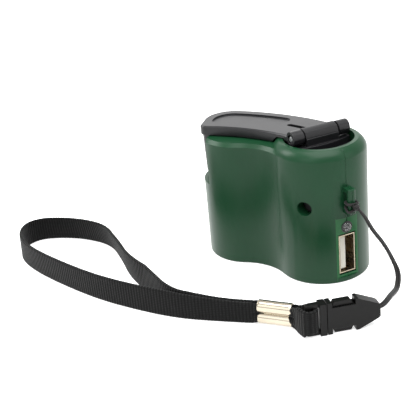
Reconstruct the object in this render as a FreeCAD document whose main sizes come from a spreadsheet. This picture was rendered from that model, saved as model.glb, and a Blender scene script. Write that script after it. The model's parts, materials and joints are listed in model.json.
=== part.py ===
"""Hand crank phone charger: a moulded two-shell body, a folding crank that drives a small
generator through a gear train, a USB socket with a lamp, and a wrist strap on a quick buckle.

Frame: millimetres, Z up. The origin is on the bottom face, on the crank's axis. +X points out of
the USB socket, and the body's narrow lobe lies towards -X and -Y.
"""
import FreeCAD
import Part
import math
import os

from FreeCAD import Placement, Rotation, Vector

doc = FreeCAD.newDocument("HandCrankCharger")
sheet = doc.addObject("Spreadsheet::Sheet", "sizes")
NODES = {}

SIZES = {
    # body outline in plan
    "hub_lobe_radius": 15.0,
    "tail_lobe_radius": 14.7,
    "tail_back": 27.0,
    "tail_side": 12.7,
    "waist_radius": 17.3,
    "back_radius": 126.0,
    # body heights and walls
    "body_height": 43.0,
    "shoulder_drop": 1.3,
    "cap_bevel_share": 0.85,
    "ring_rise": 1.9,
    "ring_bulge": 0.45,
    "rim_width": 1.24,
    "ring_width": 3.74,
    "well_depth": 7.5,
    "well_wall": 2.0,
    "floor_thickness": 2.0,
    "wall": 1.8,
    "foot_round": 0.6,
    "shelf_width": 1.4,
    "shelf_thickness": 1.5,
    # clearance under the knob that hangs beside the tail
    "knob_end_gap": 0.7,
    "parting_radius": 40.0,
    "parting_turn": 35.0,
    # socket face
    "pad_cut": 0.52,
    "pad_bottom": 1.77,
    "pad_height": 20.76,
    "window_rise": 0.88,
    "window_end_gap": 0.5,
    "window_side_gap": 0.15,
    "lamp_rise": 2.25,
    "lamp_radius": 1.5,
    "lamp_gap": 0.15,
    "lamp_length": 4.0,
    "lamp_proud": 0.5,
    "lamp_flange": 0.35,
    # lanyard eye
    "eye_rise": 1.97,
    "eye_height": 8.4,
    "eye_depth": 3.2,
    "eye_width": 2.6,
    "eye_bar": 1.2,
    "eye_end": 1.3,
    "eye_round": 0.6,
    # case screw
    "screw_along": -3.2,
    "screw_drop": 2.7,
    "screw_recess_radius": 2.35,
    "screw_depth": 4.5,
    "screw_bite": 3.5,
    "boss_radius": 3.3,
    "screw_radius": 1.0,
    "screw_head_radius": 1.9,
    "screw_head_height": 1.4,
    # crank hub and hinge
    "running_gap": 0.3,
    "bearing_gap": 0.05,
    "disc_gap": 0.36,
    "disc_height": 4.2,
    "disc_bevel": 0.35,
    "spindle_radius": 4.0,
    "spindle_end_radius": 2.6,
    "spindle_flat": 1.9,
    "pedestal_height": 2.0,
    "pedestal_front": 4.0,
    "pedestal_back": 3.5,
    "pedestal_bulge": 26.0,
    "hinge_rise": 1.45,
    "knuckle_radius": 2.4,
    "hub_knuckle_half": 5.9,
    "knuckle_inset": 0.96,
    "knuckle_gap": 0.45,
    "knuckle_bore_radius": 1.5,
    "knuckle_bore_depth": 0.6,
    "hinge_pin_radius": 0.9,
    "hinge_pin_inset": 0.2,
    "hub_screw_radius": 0.9,
    "hub_screw_depth": 3.5,
    "hub_screw_head": 1.9,
    "hub_screw_head_height": 1.3,
    "washer_radius": 3.6,
    "washer_thickness": 0.5,
    # crank arm
    "arm_gap": 0.4,
    "arm_thickness": 3.1,
    "arm_centre_x": 14.5,
    "arm_centre_y": -65.0,
    "arm_bend_radius": 67.1,
    "arm_width": 17.2,
    "arm_start_angle": 98.0,
    "arm_tip_angle": 140.2,
    "arm_far_corner": 9.0,
    "arm_near_corner": 2.4,
    "arm_root": 3.0,
    "arm_bevel": 0.45,
    "arm_relief": 0.8,
    "panel_rim": 3.3,
    "panel_near_rim": 4.3,
    "panel_depth": 0.5,
    "panel_start_angle": 115.4,
    "panel_tip_corner": 6.0,
    "panel_corner": 2.2,
    "slot_width": 1.8,
    "slot_bend_radius": 66.85,
    "slot_end_angle": 113.8,
    # knob
    "knob_distance": 41.4,
    "knob_bearing": 30.0,
    "knob_radius": 3.0,
    "knob_end_radius": 2.6,
    "knob_edge": 0.35,
    "knob_length": 15.6,
    "knob_pin_radius": 1.2,
    "knob_screw_radius": 0.9,
    "knob_screw_depth": 2.0,
    "knob_head_radius": 1.8,
    "knob_head_height": 1.0,
    "knob_head_room": 1.8,
    # gear train
    "drive_edge_gap": 0.775,
    "tooth_tip": 0.85,
    "tooth_root": 1.15,
    "drive_teeth": 48,
    "small_teeth": 12,
    "wheel_teeth": 40,
    "gear_gap": 0.6,
    "drive_gear_width": 2.4,
    "drive_hole_radius": 2.1,
    "wheel_gap": 0.8,
    "wheel_width": 2.0,
    "idler_side_step": 2.4,
    "rotor_side_step": 0.1,
    "axle_radius": 1.0,
    "bush_wall": 1.0,
    "collar_gap": 0.2,
    "plate_gap": 0.7,
    "plate_thickness": 1.5,
    "plate_edge_gap": 0.25,
    "plate_start": -1.5,
    "post_back": 1.1,
    "post_aside": 5.6,
    "post_radius": 1.4,
    "bridge_gap": 0.8,
    "bridge_thickness": 1.2,
    "bridge_radius": 2.6,
    # generator
    "rotor_radius": 10.4,
    "rotor_wall": 0.6,
    "rotor_base": 1.2,
    "rotor_gap": 2.9,
    "rotor_height": 10.9,
    "magnet_thickness": 1.4,
    "magnet_end_gap": 0.6,
    "stator_radius": 8.0,
    "stator_inset": 2.0,
    "stator_height": 6.0,
    "stator_poles": 9,
    "stator_ring": 1.2,
    "pole_width": 1.2,
    "shoe_width": 4.0,
    "shoe_depth": 1.0,
    "coil_width": 2.5,
    "coil_end": 0.8,
    "mast_radius": 2.6,
    "mast_bore": 1.5,
    # socket and board
    "usb_height": 13.2,
    "usb_width": 5.9,
    "usb_depth": 13.8,
    "usb_sheet": 0.35,
    "usb_inset": 0.15,
    "usb_block": 3.6,
    "tongue_thickness": 1.84,
    "tongue_height": 11.1,
    "tongue_gap": 0.75,
    "tongue_inset": 1.0,
    "contact_length": 7.4,
    "contact_gauge": 0.25,
    "contact_width": 1.0,
    "board_gap": 0.05,
    "board_thickness": 1.2,
    "board_back": 7.0,
    "board_end_gap": 1.0,
    "board_bottom": 2.3,
    "board_top_gap": 0.7,
    "can_radius": 2.5,
    "can_top_gap": 9.8,
    "can_seal": 0.4,
    "chip_length": 5.0,
    "chip_height": 1.5,
    "chip_width": 4.0,
    "choke_side": 4.5,
    "choke_height": 3.0,
    "diode_length": 2.6,
    "diode_height": 1.1,
    "diode_width": 1.5,
    "diode_column": 3.6,
    "diode_row": 2.4,
    "diode_top_gap": 7.8,
    # strap
    "cord_diameter": 1.2,
    "hitch_gauge": 1.0,
    "hitch_gap": 0.25,
    "hitch_rise": 3.35,
    "web_width": 9.0,
    "web_thickness": 1.1,
    "web_lift": 0.1,
    "ferrule_radius": 1.95,
    "ferrule_wall": 0.45,
    "ferrule_overlap": 0.2,
    "ferrule_length": 10.6,
    "strap_bar_radius": 1.2,
    "buckle_x": 36.2,
    "buckle_y": -22.3,
    "buckle_heading": 75.3,
    "buckle_width": 12.4,
    "buckle_thickness": 5.2,
    "buckle_wall": 0.9,
    "socket_length": 16.0,
    "socket_taper_start": 10.0,
    "socket_end_width": 5.5,
    "strap_bar_offset": 5.0,
    "strap_gap": 0.3,
    "strap_end_low": 0.3,
    "strap_end_high": 10.7,
    "buckle_margin": 2.0,
    "buckle_window": 7.0,
    "lever_gap": 0.15,
    "flange_depth": 2.0,
    "flange_gap": 0.2,
    "leg_width": 1.4,
    "leg_thickness": 2.4,
    "tongue_width": 2.2,
    "tongue_length": 9.0,
}

for row, (alias, number) in enumerate(SIZES.items(), start=1):
    sheet.set(f"A{row}", alias)
    sheet.set(f"B{row}", str(number))
    sheet.setAlias(f"B{row}", alias)
doc.recompute()

# heights and places that follow from the driving sizes
SHOULDER = "body_height - shoulder_drop"
CAP_BEVEL = "cap_bevel_share * shoulder_drop"
RING_TOP = "body_height + ring_rise"
WELL_RADIUS = "hub_lobe_radius - ring_width"
RIM_RADIUS = f"{WELL_RADIUS} + rim_width"
WELL_FLOOR = f"{RING_TOP} - well_depth"
WELL_UNDERSIDE = f"{WELL_FLOOR} - floor_thickness"
DISC_TOP = f"{WELL_FLOOR} + disc_height"
DISC_RADIUS = f"{WELL_RADIUS} - disc_gap"
PEDESTAL_TOP = f"{DISC_TOP} + pedestal_height"
HINGE_HEIGHT = f"{RING_TOP} + hinge_rise"
HINGE_HALF = f"{WELL_RADIUS} - knuckle_inset"
ARM_UNDER = "body_height + arm_gap"
ARM_TOP = f"{ARM_UNDER} + arm_thickness"
KNOB_TOP = f"{ARM_UNDER} - running_gap"
KNOB_END = f"{KNOB_TOP} - knob_length"
LEDGE = f"{KNOB_END} - knob_end_gap"
RELIEF_RADIUS = "knob_distance - knob_radius - running_gap"
DRIVE_TOP = f"{WELL_UNDERSIDE} - gear_gap"
DRIVE_BOTTOM = f"{DRIVE_TOP} - drive_gear_width"
WHEEL_TOP = f"{DRIVE_BOTTOM} - wheel_gap"
WHEEL_BOTTOM = f"{WHEEL_TOP} - wheel_width"
PLATE_TOP = f"{WHEEL_BOTTOM} - plate_gap"
PLATE_BOTTOM = f"{PLATE_TOP} - plate_thickness"
BRIDGE_BOTTOM = f"{DRIVE_TOP} + bridge_gap"
BRIDGE_TOP = f"{BRIDGE_BOTTOM} + bridge_thickness"
ROTOR_TOP = f"{PLATE_BOTTOM} - rotor_gap"
ROTOR_BOTTOM = f"{ROTOR_TOP} - rotor_height"
STATOR_TOP = f"{ROTOR_TOP} - stator_inset"
STATOR_BOTTOM = f"{STATOR_TOP} - stator_height"
PAD_FACE = "hub_lobe_radius - pad_cut"
PAD_TOP = "pad_bottom + pad_height"
WINDOW_BOTTOM = "pad_bottom + window_rise"
WINDOW_TOP = f"{WINDOW_BOTTOM} + usb_height + 2 * window_end_gap"
LAMP_HEIGHT = f"{WINDOW_TOP} + lamp_rise"
EYE_BOTTOM = f"{PAD_TOP} + eye_rise"
EYE_TOP = f"{EYE_BOTTOM} + eye_height"
EYE_FACE = "hub_lobe_radius + eye_depth"
SCREW_HEIGHT = f"{DRIVE_BOTTOM} - boss_radius - screw_drop"
BOARD_HEIGHT = f"{SCREW_HEIGHT} - boss_radius - board_top_gap - board_bottom"
SCREW_SEAT = "screw_depth - hub_lobe_radius"
SCREW_LENGTH = "hub_lobe_radius - screw_depth + screw_bite"


def size(alias):
    """The value that the sheet holds under this alias."""
    return float(sheet.get(alias))


def value(expression):
    """Work out an expression of aliases and numbers that are multiplied, added or taken away."""
    total = 0.0
    sign = 1
    product = None
    for word in expression.split() + ["+"]:
        if word in "+-":
            total += sign * (product or 0.0)
            sign = 1 if word == "+" else -1
            product = None
        elif word != "*":
            factor = size(word) if word in SIZES else float(word)
            product = factor if product is None else product * factor
    return total


def bound(expression):
    """An expression with each alias pointed at the sheet."""
    words = []
    word = ""
    for letter in expression + " ":
        if letter.isalnum() or letter == "_":
            word += letter
            continue
        if word in SIZES:
            word = f"sizes.{word}"
        words.append(word + letter)
        word = ""
    return "".join(words).strip()


def bind(thing, **expressions):
    """Bind properties of a document object; a property's dots are written as double underscores."""
    for name, expression in expressions.items():
        thing.setExpression(name.replace("__", "."), bound(expression))
    return thing


def move(thing, x="0", y="0", z="0"):
    return bind(thing, Placement__Base__x=x, Placement__Base__y=y, Placement__Base__z=z)


TURNS = {
    "Z": Rotation(),
    "X": Rotation(Vector(0, 1, 0), 90),
    "Y": Rotation(Vector(1, 0, 0), -90),
}


def cylinder(name, radius, height, x="0", y="0", z="0", along="Z"):
    """A cylinder that starts at a point and runs along +X, +Y or +Z."""
    made = doc.addObject("Part::Cylinder", name)
    made.Placement = Placement(Vector(), TURNS[along])
    bind(made, Radius=radius, Height=height)
    return move(made, x, y, z)


def box(name, x, y, z):
    """A box between three pairs of faces, each pair a tuple of two expressions."""
    made = doc.addObject("Part::Box", name)
    bind(
        made,
        Length=f"({x[1]}) - ({x[0]})",
        Width=f"({y[1]}) - ({y[0]})",
        Height=f"({z[1]}) - ({z[0]})",
    )
    return move(made, x[0], y[0], z[0])


def fuse(name, *pieces):
    made = doc.addObject("Part::MultiFuse", name)
    made.Shapes = list(pieces)
    made.Refine = True
    return made


def common(name, *pieces):
    made = doc.addObject("Part::MultiCommon", name)
    made.Shapes = list(pieces)
    made.Refine = True
    return made


def cut(name, base, *tools):
    made = doc.addObject("Part::Cut", name)
    made.Base = base
    made.Tool = tools[0] if len(tools) == 1 else fuse(name + "_tools", *tools)
    made.Refine = True
    return made


def feature(name, shape, placement=None):
    made = doc.addObject("Part::Feature", name)
    made.Shape = shape
    if placement is not None:
        made.Placement = placement
    return made


def node(name, thing):
    """Name a finished sub-part; the label is its file's name."""
    thing.Label = name
    NODES[name] = thing
    return thing


def plane_of(body, role):
    """One of a body's own origin planes, found by its role."""
    return next(p for p in body.Origin.OriginFeatures if p.Role == role)


def body_with_sketch(name, role):
    """A PartDesign body with a first sketch on one of its own planes."""
    body = doc.addObject("PartDesign::Body", name)
    return body, sketch_on(body, name + "_profile", role)


def sketch_on(body, name, role):
    sketch = body.newObject("Sketcher::SketchObject", name)
    sketch.AttachmentSupport = [(plane_of(body, role), "")]
    sketch.MapMode = "FlatFace"
    return sketch


# ---------------------------------------------------------------- the body's long axis
def tail_point(along, across):
    """A plan point from distances along the body's long axis, and across it to the back side."""
    back, side = size("tail_back"), size("tail_side")
    run = math.hypot(back, side)
    x = -along * back / run - across * side / run
    y = -along * side / run + across * back / run
    return x, y


LONG_AXIS_TURN = math.degrees(math.atan2(size("tail_side"), size("tail_back")))


def meeting(p, q, from_p, from_q, sign):
    """The point at two given distances from p and q, on the side that sign picks."""
    gap = math.dist(p, q)
    along = (gap * gap + from_p * from_p - from_q * from_q) / (2 * gap)
    off = sign * math.sqrt(from_p * from_p - along * along)
    ux, uy = (q[0] - p[0]) / gap, (q[1] - p[1]) / gap
    return p[0] + ux * along - uy * off, p[1] + uy * along + ux * off


def angle_to(p, q):
    return math.atan2(q[1] - p[1], q[0] - p[0])


def ccw_arc(centre, radius, start, end):
    if end <= start:
        end += 2 * math.pi
    circle = Part.Circle(Vector(centre[0], centre[1], 0), Vector(0, 0, 1), radius)
    return Part.ArcOfCircle(circle, start, end)


def bean_sketch(name, inset, lift):
    """The body's plan: two round lobes, a hollow waist on the near side and a full back.
    The inset is an expression, and shrinks the outline evenly."""
    import Sketcher
    step = value(inset)
    hub, tail = (0.0, 0.0), (-size("tail_back"), -size("tail_side"))
    hub_r = size("hub_lobe_radius") - step
    tail_r = size("tail_lobe_radius") - step
    waist_r = size("waist_radius") + step
    back_r = size("back_radius") - step
    waist = meeting(hub, tail, hub_r + waist_r, tail_r + waist_r, 1)
    back = meeting(hub, tail, back_r - hub_r, back_r - tail_r, 1)
    sketch = doc.addObject("Sketcher::SketchObject", name)
    sketch.addGeometry([
        ccw_arc(hub, hub_r, angle_to(hub, waist), angle_to(back, hub)),
        ccw_arc(back, back_r, angle_to(back, hub), angle_to(back, tail)),
        ccw_arc(tail, tail_r, angle_to(back, tail), angle_to(tail, waist)),
        ccw_arc(waist, waist_r, angle_to(waist, hub), angle_to(waist, tail)),
    ], False)
    rule = Sketcher.Constraint
    sketch.addConstraint([
        rule("Tangent", 0, 2, 1, 1),
        rule("Tangent", 1, 2, 2, 1),
        rule("Tangent", 2, 2, 3, 2),
        rule("Tangent", 0, 1, 3, 1),
        rule("Coincident", 0, 3, -1, 1),
    ])
    sized = [
        ("tail_x", rule("DistanceX", 2, 3, -1, 1, -tail[0]), "tail_back"),
        ("tail_y", rule("DistanceY", 2, 3, -1, 1, -tail[1]), "tail_side"),
        ("hub_r", rule("Radius", 0, hub_r), f"hub_lobe_radius - ({inset})"),
        ("back_r", rule("Radius", 1, back_r), f"back_radius - ({inset})"),
        ("tail_r", rule("Radius", 2, tail_r), f"tail_lobe_radius - ({inset})"),
        ("waist_r", rule("Radius", 3, waist_r), f"waist_radius + ({inset})"),
    ]
    for label, constraint, expression in sized:
        index = sketch.addConstraint(constraint)
        sketch.renameConstraint(index, label)
        sketch.setExpression(f"Constraints.{label}", bound(expression))
    return move(sketch, z=lift)


def bean(name, inset, low, high):
    """An upright block of the body's plan between two heights."""
    made = doc.addObject("Part::Extrusion", name)
    made.Base = bean_sketch(name + "_outline", inset, low)
    made.DirMode = "Custom"
    made.Dir = Vector(0, 0, 1)
    made.Solid = True
    bind(made, LengthFwd=f"({high}) - ({low})")
    return made


def eased(name, base, width, height, kind="Part::Fillet"):
    """Round or bevel every edge of a block that lies flat at a height; both are expressions."""
    doc.recompute()
    level, reach = value(height), value(width)
    edges = []
    for index, edge in enumerate(base.Shape.Edges, start=1):
        frame = edge.BoundBox
        if abs(frame.ZMin - level) < 1e-6 and abs(frame.ZMax - level) < 1e-6:
            edges.append((index, reach, reach))
    made = doc.addObject(kind, name)
    made.Base = base
    made.Edges = edges
    return made


def hub_side(start, low, high):
    """A block over the hub's end of the body, which begins this far along the long axis."""
    reach = 4 * size("hub_lobe_radius")
    block = Part.makeBox(reach, 2 * reach, high - low, Vector(start, -reach, low))
    block.rotate(Vector(), Vector(0, 0, 1), LONG_AXIS_TURN)
    return block


def ring_block(name, inner, outer, low, high):
    return cut(
        name,
        cylinder(name + "_outer", outer, f"({high}) - ({low})", z=low),
        cylinder(name + "_inner", inner, f"({high}) - ({low})", z=low),
    )


def parting_block():
    """Everything on the near side of the parting surface: it leaves the socket end on the line
    y = 0, bends round and follows the tail."""
    far = 80.0
    turn = math.radians(size("parting_turn"))
    radius = size("parting_radius")
    bend_end = Vector(-radius * math.sin(turn), -radius * (1 - math.cos(turn)), 0)
    middle = Vector(-radius * math.sin(turn / 2), -radius * (1 - math.cos(turn / 2)), 0)
    run_end = bend_end + Vector(-math.cos(turn), -math.sin(turn), 0) * far
    corners = [run_end, Vector(run_end.x, -far, 0), Vector(far, -far, 0), Vector(far, 0, 0), Vector()]
    edges = [
        Part.LineSegment(a, b).toShape() for a, b in zip(corners, corners[1:])
    ]
    edges.append(Part.Arc(Vector(), middle, bend_end).toShape())
    edges.append(Part.LineSegment(bend_end, run_end).toShape())
    outline = Part.Wire(Part.__sortEdges__(edges))
    return Part.Face(outline).extrude(Vector(0, 0, far)).translated(Vector(0, 0, -far / 4))


# ---------------------------------------------------------------- housing
def ring_form():
    """The raised ring round the crank's well, whose outside bulges from the lobe to the rim."""
    outer, rim = size("hub_lobe_radius"), value(RIM_RADIUS)
    low, high = value(SHOULDER), value(RING_TOP)
    foot, top = Vector(outer, 0, low), Vector(rim, 0, high)
    outward = Vector(high - low, 0, outer - rim).normalize()
    middle = (foot + top) * 0.5 + outward * size("ring_bulge")
    edges = [
        Part.LineSegment(Vector(0, 0, low), foot).toShape(),
        Part.Arc(foot, middle, top).toShape(),
        Part.LineSegment(top, Vector(0, 0, high)).toShape(),
        Part.LineSegment(Vector(0, 0, high), Vector(0, 0, low)).toShape(),
    ]
    return Part.Face(Part.Wire(edges)).revolve(Vector(), Vector(0, 0, 1), 360)


def outer_form():
    """The body's outside: the bean with a bevelled cap, the ring and the knob's relief."""
    low = eased("body_block", bean("body_prism", "0", "0", SHOULDER), "foot_round", "0")
    cap = eased(
        "cap_block", bean("cap_prism", "0", SHOULDER, "body_height"), CAP_BEVEL, "body_height",
        "Part::Chamfer",
    )
    cap_end = hub_side(-size("hub_lobe_radius") / 2, value(SHOULDER), value(RING_TOP))
    cap = cut("cap", cap, feature("cap_end", cap_end))
    relief = ring_block("knob_relief", RELIEF_RADIUS, "2 * knob_distance", LEDGE, RING_TOP)
    return cut("outer_form", fuse("outer_mass", low, cap, feature("ring", ring_form())), relief)


def inner_room():
    """The hollow inside: the bean less the relief, the crank's well, the screw's boss and a shelf."""
    room = bean("room_prism", "wall", "wall", "body_height - wall")
    relief = ring_block(
        "room_relief", f"{RELIEF_RADIUS} - wall", "2 * knob_distance", f"{LEDGE} - wall", RING_TOP
    )
    well = cylinder(
        "well_outside", f"{WELL_RADIUS} + well_wall", f"({RING_TOP}) - ({WELL_UNDERSIDE})", z=WELL_UNDERSIDE
    )
    shelf_low = f"{PLATE_BOTTOM} - shelf_thickness"
    end = hub_side(size("plate_start"), value(shelf_low), value(PLATE_BOTTOM))
    shelf = cut(
        "plate_shelf",
        bean("shelf_outer", "0.5 * wall", shelf_low, PLATE_BOTTOM),
        bean("shelf_inner", "wall + shelf_width", shelf_low, PLATE_BOTTOM),
        feature("shelf_end", end),
    )
    boss = screw_cylinder("screw_boss", "boss_radius", "2 * hub_lobe_radius", "wall / 2 - hub_lobe_radius")
    return cut("room", room, relief, well, boss, shelf)


def build_shells():
    """Both shells come from one hollow case that the parting surface divides."""
    well = cylinder("crank_well", WELL_RADIUS, "2 * well_depth", z=WELL_FLOOR)
    bore = cylinder("spindle_bore", "spindle_radius + bearing_gap", "body_height", z=DRIVE_BOTTOM)
    window = box(
        "socket_window",
        ("hub_lobe_radius - 2 * wall", "2 * hub_lobe_radius"),
        ("-usb_width / 2 - window_side_gap", "usb_width / 2 + window_side_gap"),
        (WINDOW_BOTTOM, WINDOW_TOP),
    )
    lamp_hole = cylinder(
        "lamp_hole", "lamp_radius + lamp_gap", "hub_lobe_radius", x="hub_lobe_radius / 2",
        z=LAMP_HEIGHT, along="X",
    )
    pad = box(
        "socket_pad",
        (PAD_FACE, "2 * hub_lobe_radius"),
        ("-hub_lobe_radius", "hub_lobe_radius"),
        ("pad_bottom", PAD_TOP),
    )
    recess = screw_cylinder("screw_recess", "screw_recess_radius", "hub_lobe_radius",
                            f"{SCREW_SEAT} - hub_lobe_radius")
    pilot = screw_cylinder("screw_pilot", "screw_radius", f"{SCREW_LENGTH} + 1", SCREW_SEAT)
    solid = fuse("outer_with_eye", outer_form(), lanyard_eye())
    case = cut("case", solid, inner_room(), well, bore, window, lamp_hole, pad, recess, pilot)
    near = feature("near_side", parting_block())
    node("front_shell", common("front_shell", case, near))
    node("rear_shell", cut("rear_shell", case, near))
    screw = fuse(
        "case_screw",
        screw_cylinder("case_screw_head", "screw_head_radius", "screw_head_height",
                       f"{SCREW_SEAT} - screw_head_height"),
        screw_cylinder("case_screw_shank", "screw_radius", SCREW_LENGTH, SCREW_SEAT),
    )
    node("case_screw", screw)


def screw_cylinder(name, radius, length, start):
    """A cylinder on the case screw's axis, which runs square to the body's long axis."""
    made = doc.addObject("Part::Cylinder", name)
    bind(made, Radius=radius, Height=length)
    direction = Vector(*tail_point(0, 1), 0)
    made.Placement = Placement(Vector(), Rotation(Vector(0, 0, 1), direction))
    back, side = "tail_back", "tail_side"
    run = f"sqrt({back}^2 + {side}^2)"
    return move(
        made,
        f"(-(screw_along) * {back} - ({start}) * {side}) / {run}",
        f"(-(screw_along) * {side} + ({start}) * {back}) / {run}",
        SCREW_HEIGHT,
    )


def lanyard_eye():
    """The upright bar on the seam above the socket; the strap's cord goes round it."""
    bar = box(
        "eye_block",
        ("hub_lobe_radius - wall / 2", EYE_FACE),
        ("-eye_width / 2", "eye_width / 2"),
        (EYE_BOTTOM, EYE_TOP),
    )
    doc.recompute()
    edges = []
    for index, edge in enumerate(bar.Shape.Edges, start=1):
        if abs(edge.BoundBox.XMin - value(EYE_FACE)) < 1e-6:
            edges.append((index, size("eye_round"), size("eye_round")))
    soft = doc.addObject("Part::Fillet", "eye_soft")
    soft.Base = bar
    soft.Edges = edges
    hole = box(
        "eye_hole",
        ("hub_lobe_radius", f"{EYE_FACE} - eye_bar"),
        ("-eye_width", "eye_width"),
        (f"{EYE_BOTTOM} + eye_end", f"{EYE_TOP} - eye_end"),
    )
    return cut("eye", soft, hole)


# ---------------------------------------------------------------- gears
def involute(angle):
    return math.tan(angle) - angle


def gear_module():
    """The module at which the drive gear's teeth run just inside the hub lobe's wall."""
    reach = size("hub_lobe_radius") - size("wall") - size("drive_edge_gap")
    return reach / (size("drive_teeth") / 2 + size("tooth_tip"))


def gear_outline(teeth, turn):
    """Points round a spur gear with involute flanks, thinned for running play."""
    module = gear_module()
    pitch = module * teeth / 2
    base = pitch * math.cos(math.radians(20))
    tip = pitch + size("tooth_tip") * module
    root = pitch - size("tooth_root") * module
    half = 0.40 * math.pi / teeth + involute(math.radians(20))
    radii = [max(base, root), (max(base, root) + pitch) / 2, pitch, tip]
    points = []
    for tooth in range(teeth):
        middle = turn + 2 * math.pi * tooth / teeth
        flank = []
        for radius in radii:
            roll = math.acos(min(1.0, base / radius))
            flank.append((radius, half - involute(roll)))
        profile = [(root, flank[0][1])] + flank if root < base else flank
        for radius, offset in profile:
            points.append(polar(radius, middle - offset))
        for radius, offset in reversed(profile):
            points.append(polar(radius, middle + offset))
    return points


def polar(radius, angle):
    return Vector(radius * math.cos(angle), radius * math.sin(angle), 0)


def gear_solid(teeth, turn, low, high, centre=(0.0, 0.0)):
    points = gear_outline(teeth, turn)
    face = Part.Face(Part.makePolygon(points + points[:1]))
    solid = face.extrude(Vector(0, 0, high - low))
    return solid.translated(Vector(centre[0], centre[1], low))


def gear_places():
    """Plan points of the idler and the rotor, each a full mesh away from its driver."""
    module = gear_module()
    first = module * (size("drive_teeth") + size("small_teeth")) / 2
    second = module * (size("wheel_teeth") + size("small_teeth")) / 2
    idler_across, rotor_across = size("idler_side_step"), size("rotor_side_step")
    idler_along = math.sqrt(first ** 2 - idler_across ** 2)
    rotor_along = idler_along + math.sqrt(second ** 2 - (idler_across - rotor_across) ** 2)
    return tail_point(idler_along, idler_across), tail_point(rotor_along, rotor_across)


def meshed(driver_place, driven_place, driver_teeth, driver_turn, driven_teeth):
    """The turn that sets a gap of the driven gear on the tooth that the driver holds there."""
    line = angle_to(driver_place, driven_place)
    step = 2 * math.pi / driver_teeth
    lag = (line - driver_turn) / step
    lag = (lag - round(lag)) * step
    return line + math.pi + lag * driver_teeth / driven_teeth + math.pi / driven_teeth


def round_bar(radius, low, high, centre, direction=Vector(0, 0, 1)):
    return Part.makeCylinder(radius, high - low, Vector(centre[0], centre[1], low), direction)


def build_gear_train():
    idler, rotor = gear_places()
    drive_teeth = int(size("drive_teeth"))
    small_teeth = int(size("small_teeth"))
    wheel_teeth = int(size("wheel_teeth"))
    axle = size("axle_radius")
    gap, collar = size("bearing_gap"), size("collar_gap")
    low, high = value(DRIVE_BOTTOM), value(DRIVE_TOP)

    drive = gear_solid(drive_teeth, 0.0, low, high).cut(spindle_end(low - 1, high + 1))
    for index in range(6):
        hole = polar(gear_module() * drive_teeth * 0.3, math.pi * index / 3)
        drive = drive.cut(round_bar(size("drive_hole_radius"), low - 1, high + 1, (hole.x, hole.y)))
    node("drive_gear", feature("drive_gear", drive))

    wheel_low, wheel_high = value(WHEEL_BOTTOM), value(WHEEL_TOP)
    turn = meshed((0, 0), idler, drive_teeth, 0.0, small_teeth)
    pinion = gear_solid(small_teeth, turn, wheel_high, high + collar, idler)
    wheel = gear_solid(wheel_teeth, 0.0, wheel_low, wheel_high, idler)
    hub_radius = axle + size("bush_wall")
    foot = round_bar(hub_radius, value(PLATE_TOP) + collar, wheel_low, idler)
    neck = round_bar(hub_radius, high, value(BRIDGE_BOTTOM) - collar, idler)
    bore = round_bar(axle + gap, value(PLATE_TOP), value(BRIDGE_BOTTOM), idler)
    node("idler_gear", feature("idler_gear", wheel.fuse([pinion, foot, neck]).cut(bore).removeSplitter()))
    axle_bar = round_bar(axle, value(PLATE_BOTTOM), value(BRIDGE_TOP), idler)
    node("idler_axle", feature("idler_axle", axle_bar))

    turn = meshed(idler, rotor, wheel_teeth, 0.0, small_teeth)
    rotor_pinion = gear_solid(
        small_teeth, turn, wheel_low - size("plate_gap") / 2, wheel_high + 2 * collar, rotor
    )
    rotor_pinion = rotor_pinion.cut(round_bar(axle, value(PLATE_TOP), value(BRIDGE_BOTTOM), rotor))
    node("rotor_pinion", feature("rotor_pinion", rotor_pinion))
    shaft = round_bar(axle, value(ROTOR_BOTTOM), value(BRIDGE_TOP), rotor)
    node("rotor_shaft", feature("rotor_shaft", shaft))
    build_plates(idler, rotor)
    build_generator(rotor)


def stadium(a, b, radius, low, high):
    """An upright slab with round ends about two plan points."""
    run = Vector(b[0] - a[0], b[1] - a[1], 0)
    side = Vector(-run.y, run.x, 0).normalize() * radius
    start, end = Vector(a[0], a[1], low), Vector(b[0], b[1], low)
    outward = Vector(run).normalize() * radius
    edges = [
        Part.LineSegment(start - side, end - side).toShape(),
        Part.Arc(end - side, end + outward, end + side).toShape(),
        Part.LineSegment(end + side, start + side).toShape(),
        Part.Arc(start + side, start - outward, start - side).toShape(),
    ]
    return Part.Face(Part.Wire(edges)).extrude(Vector(0, 0, high - low))


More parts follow.
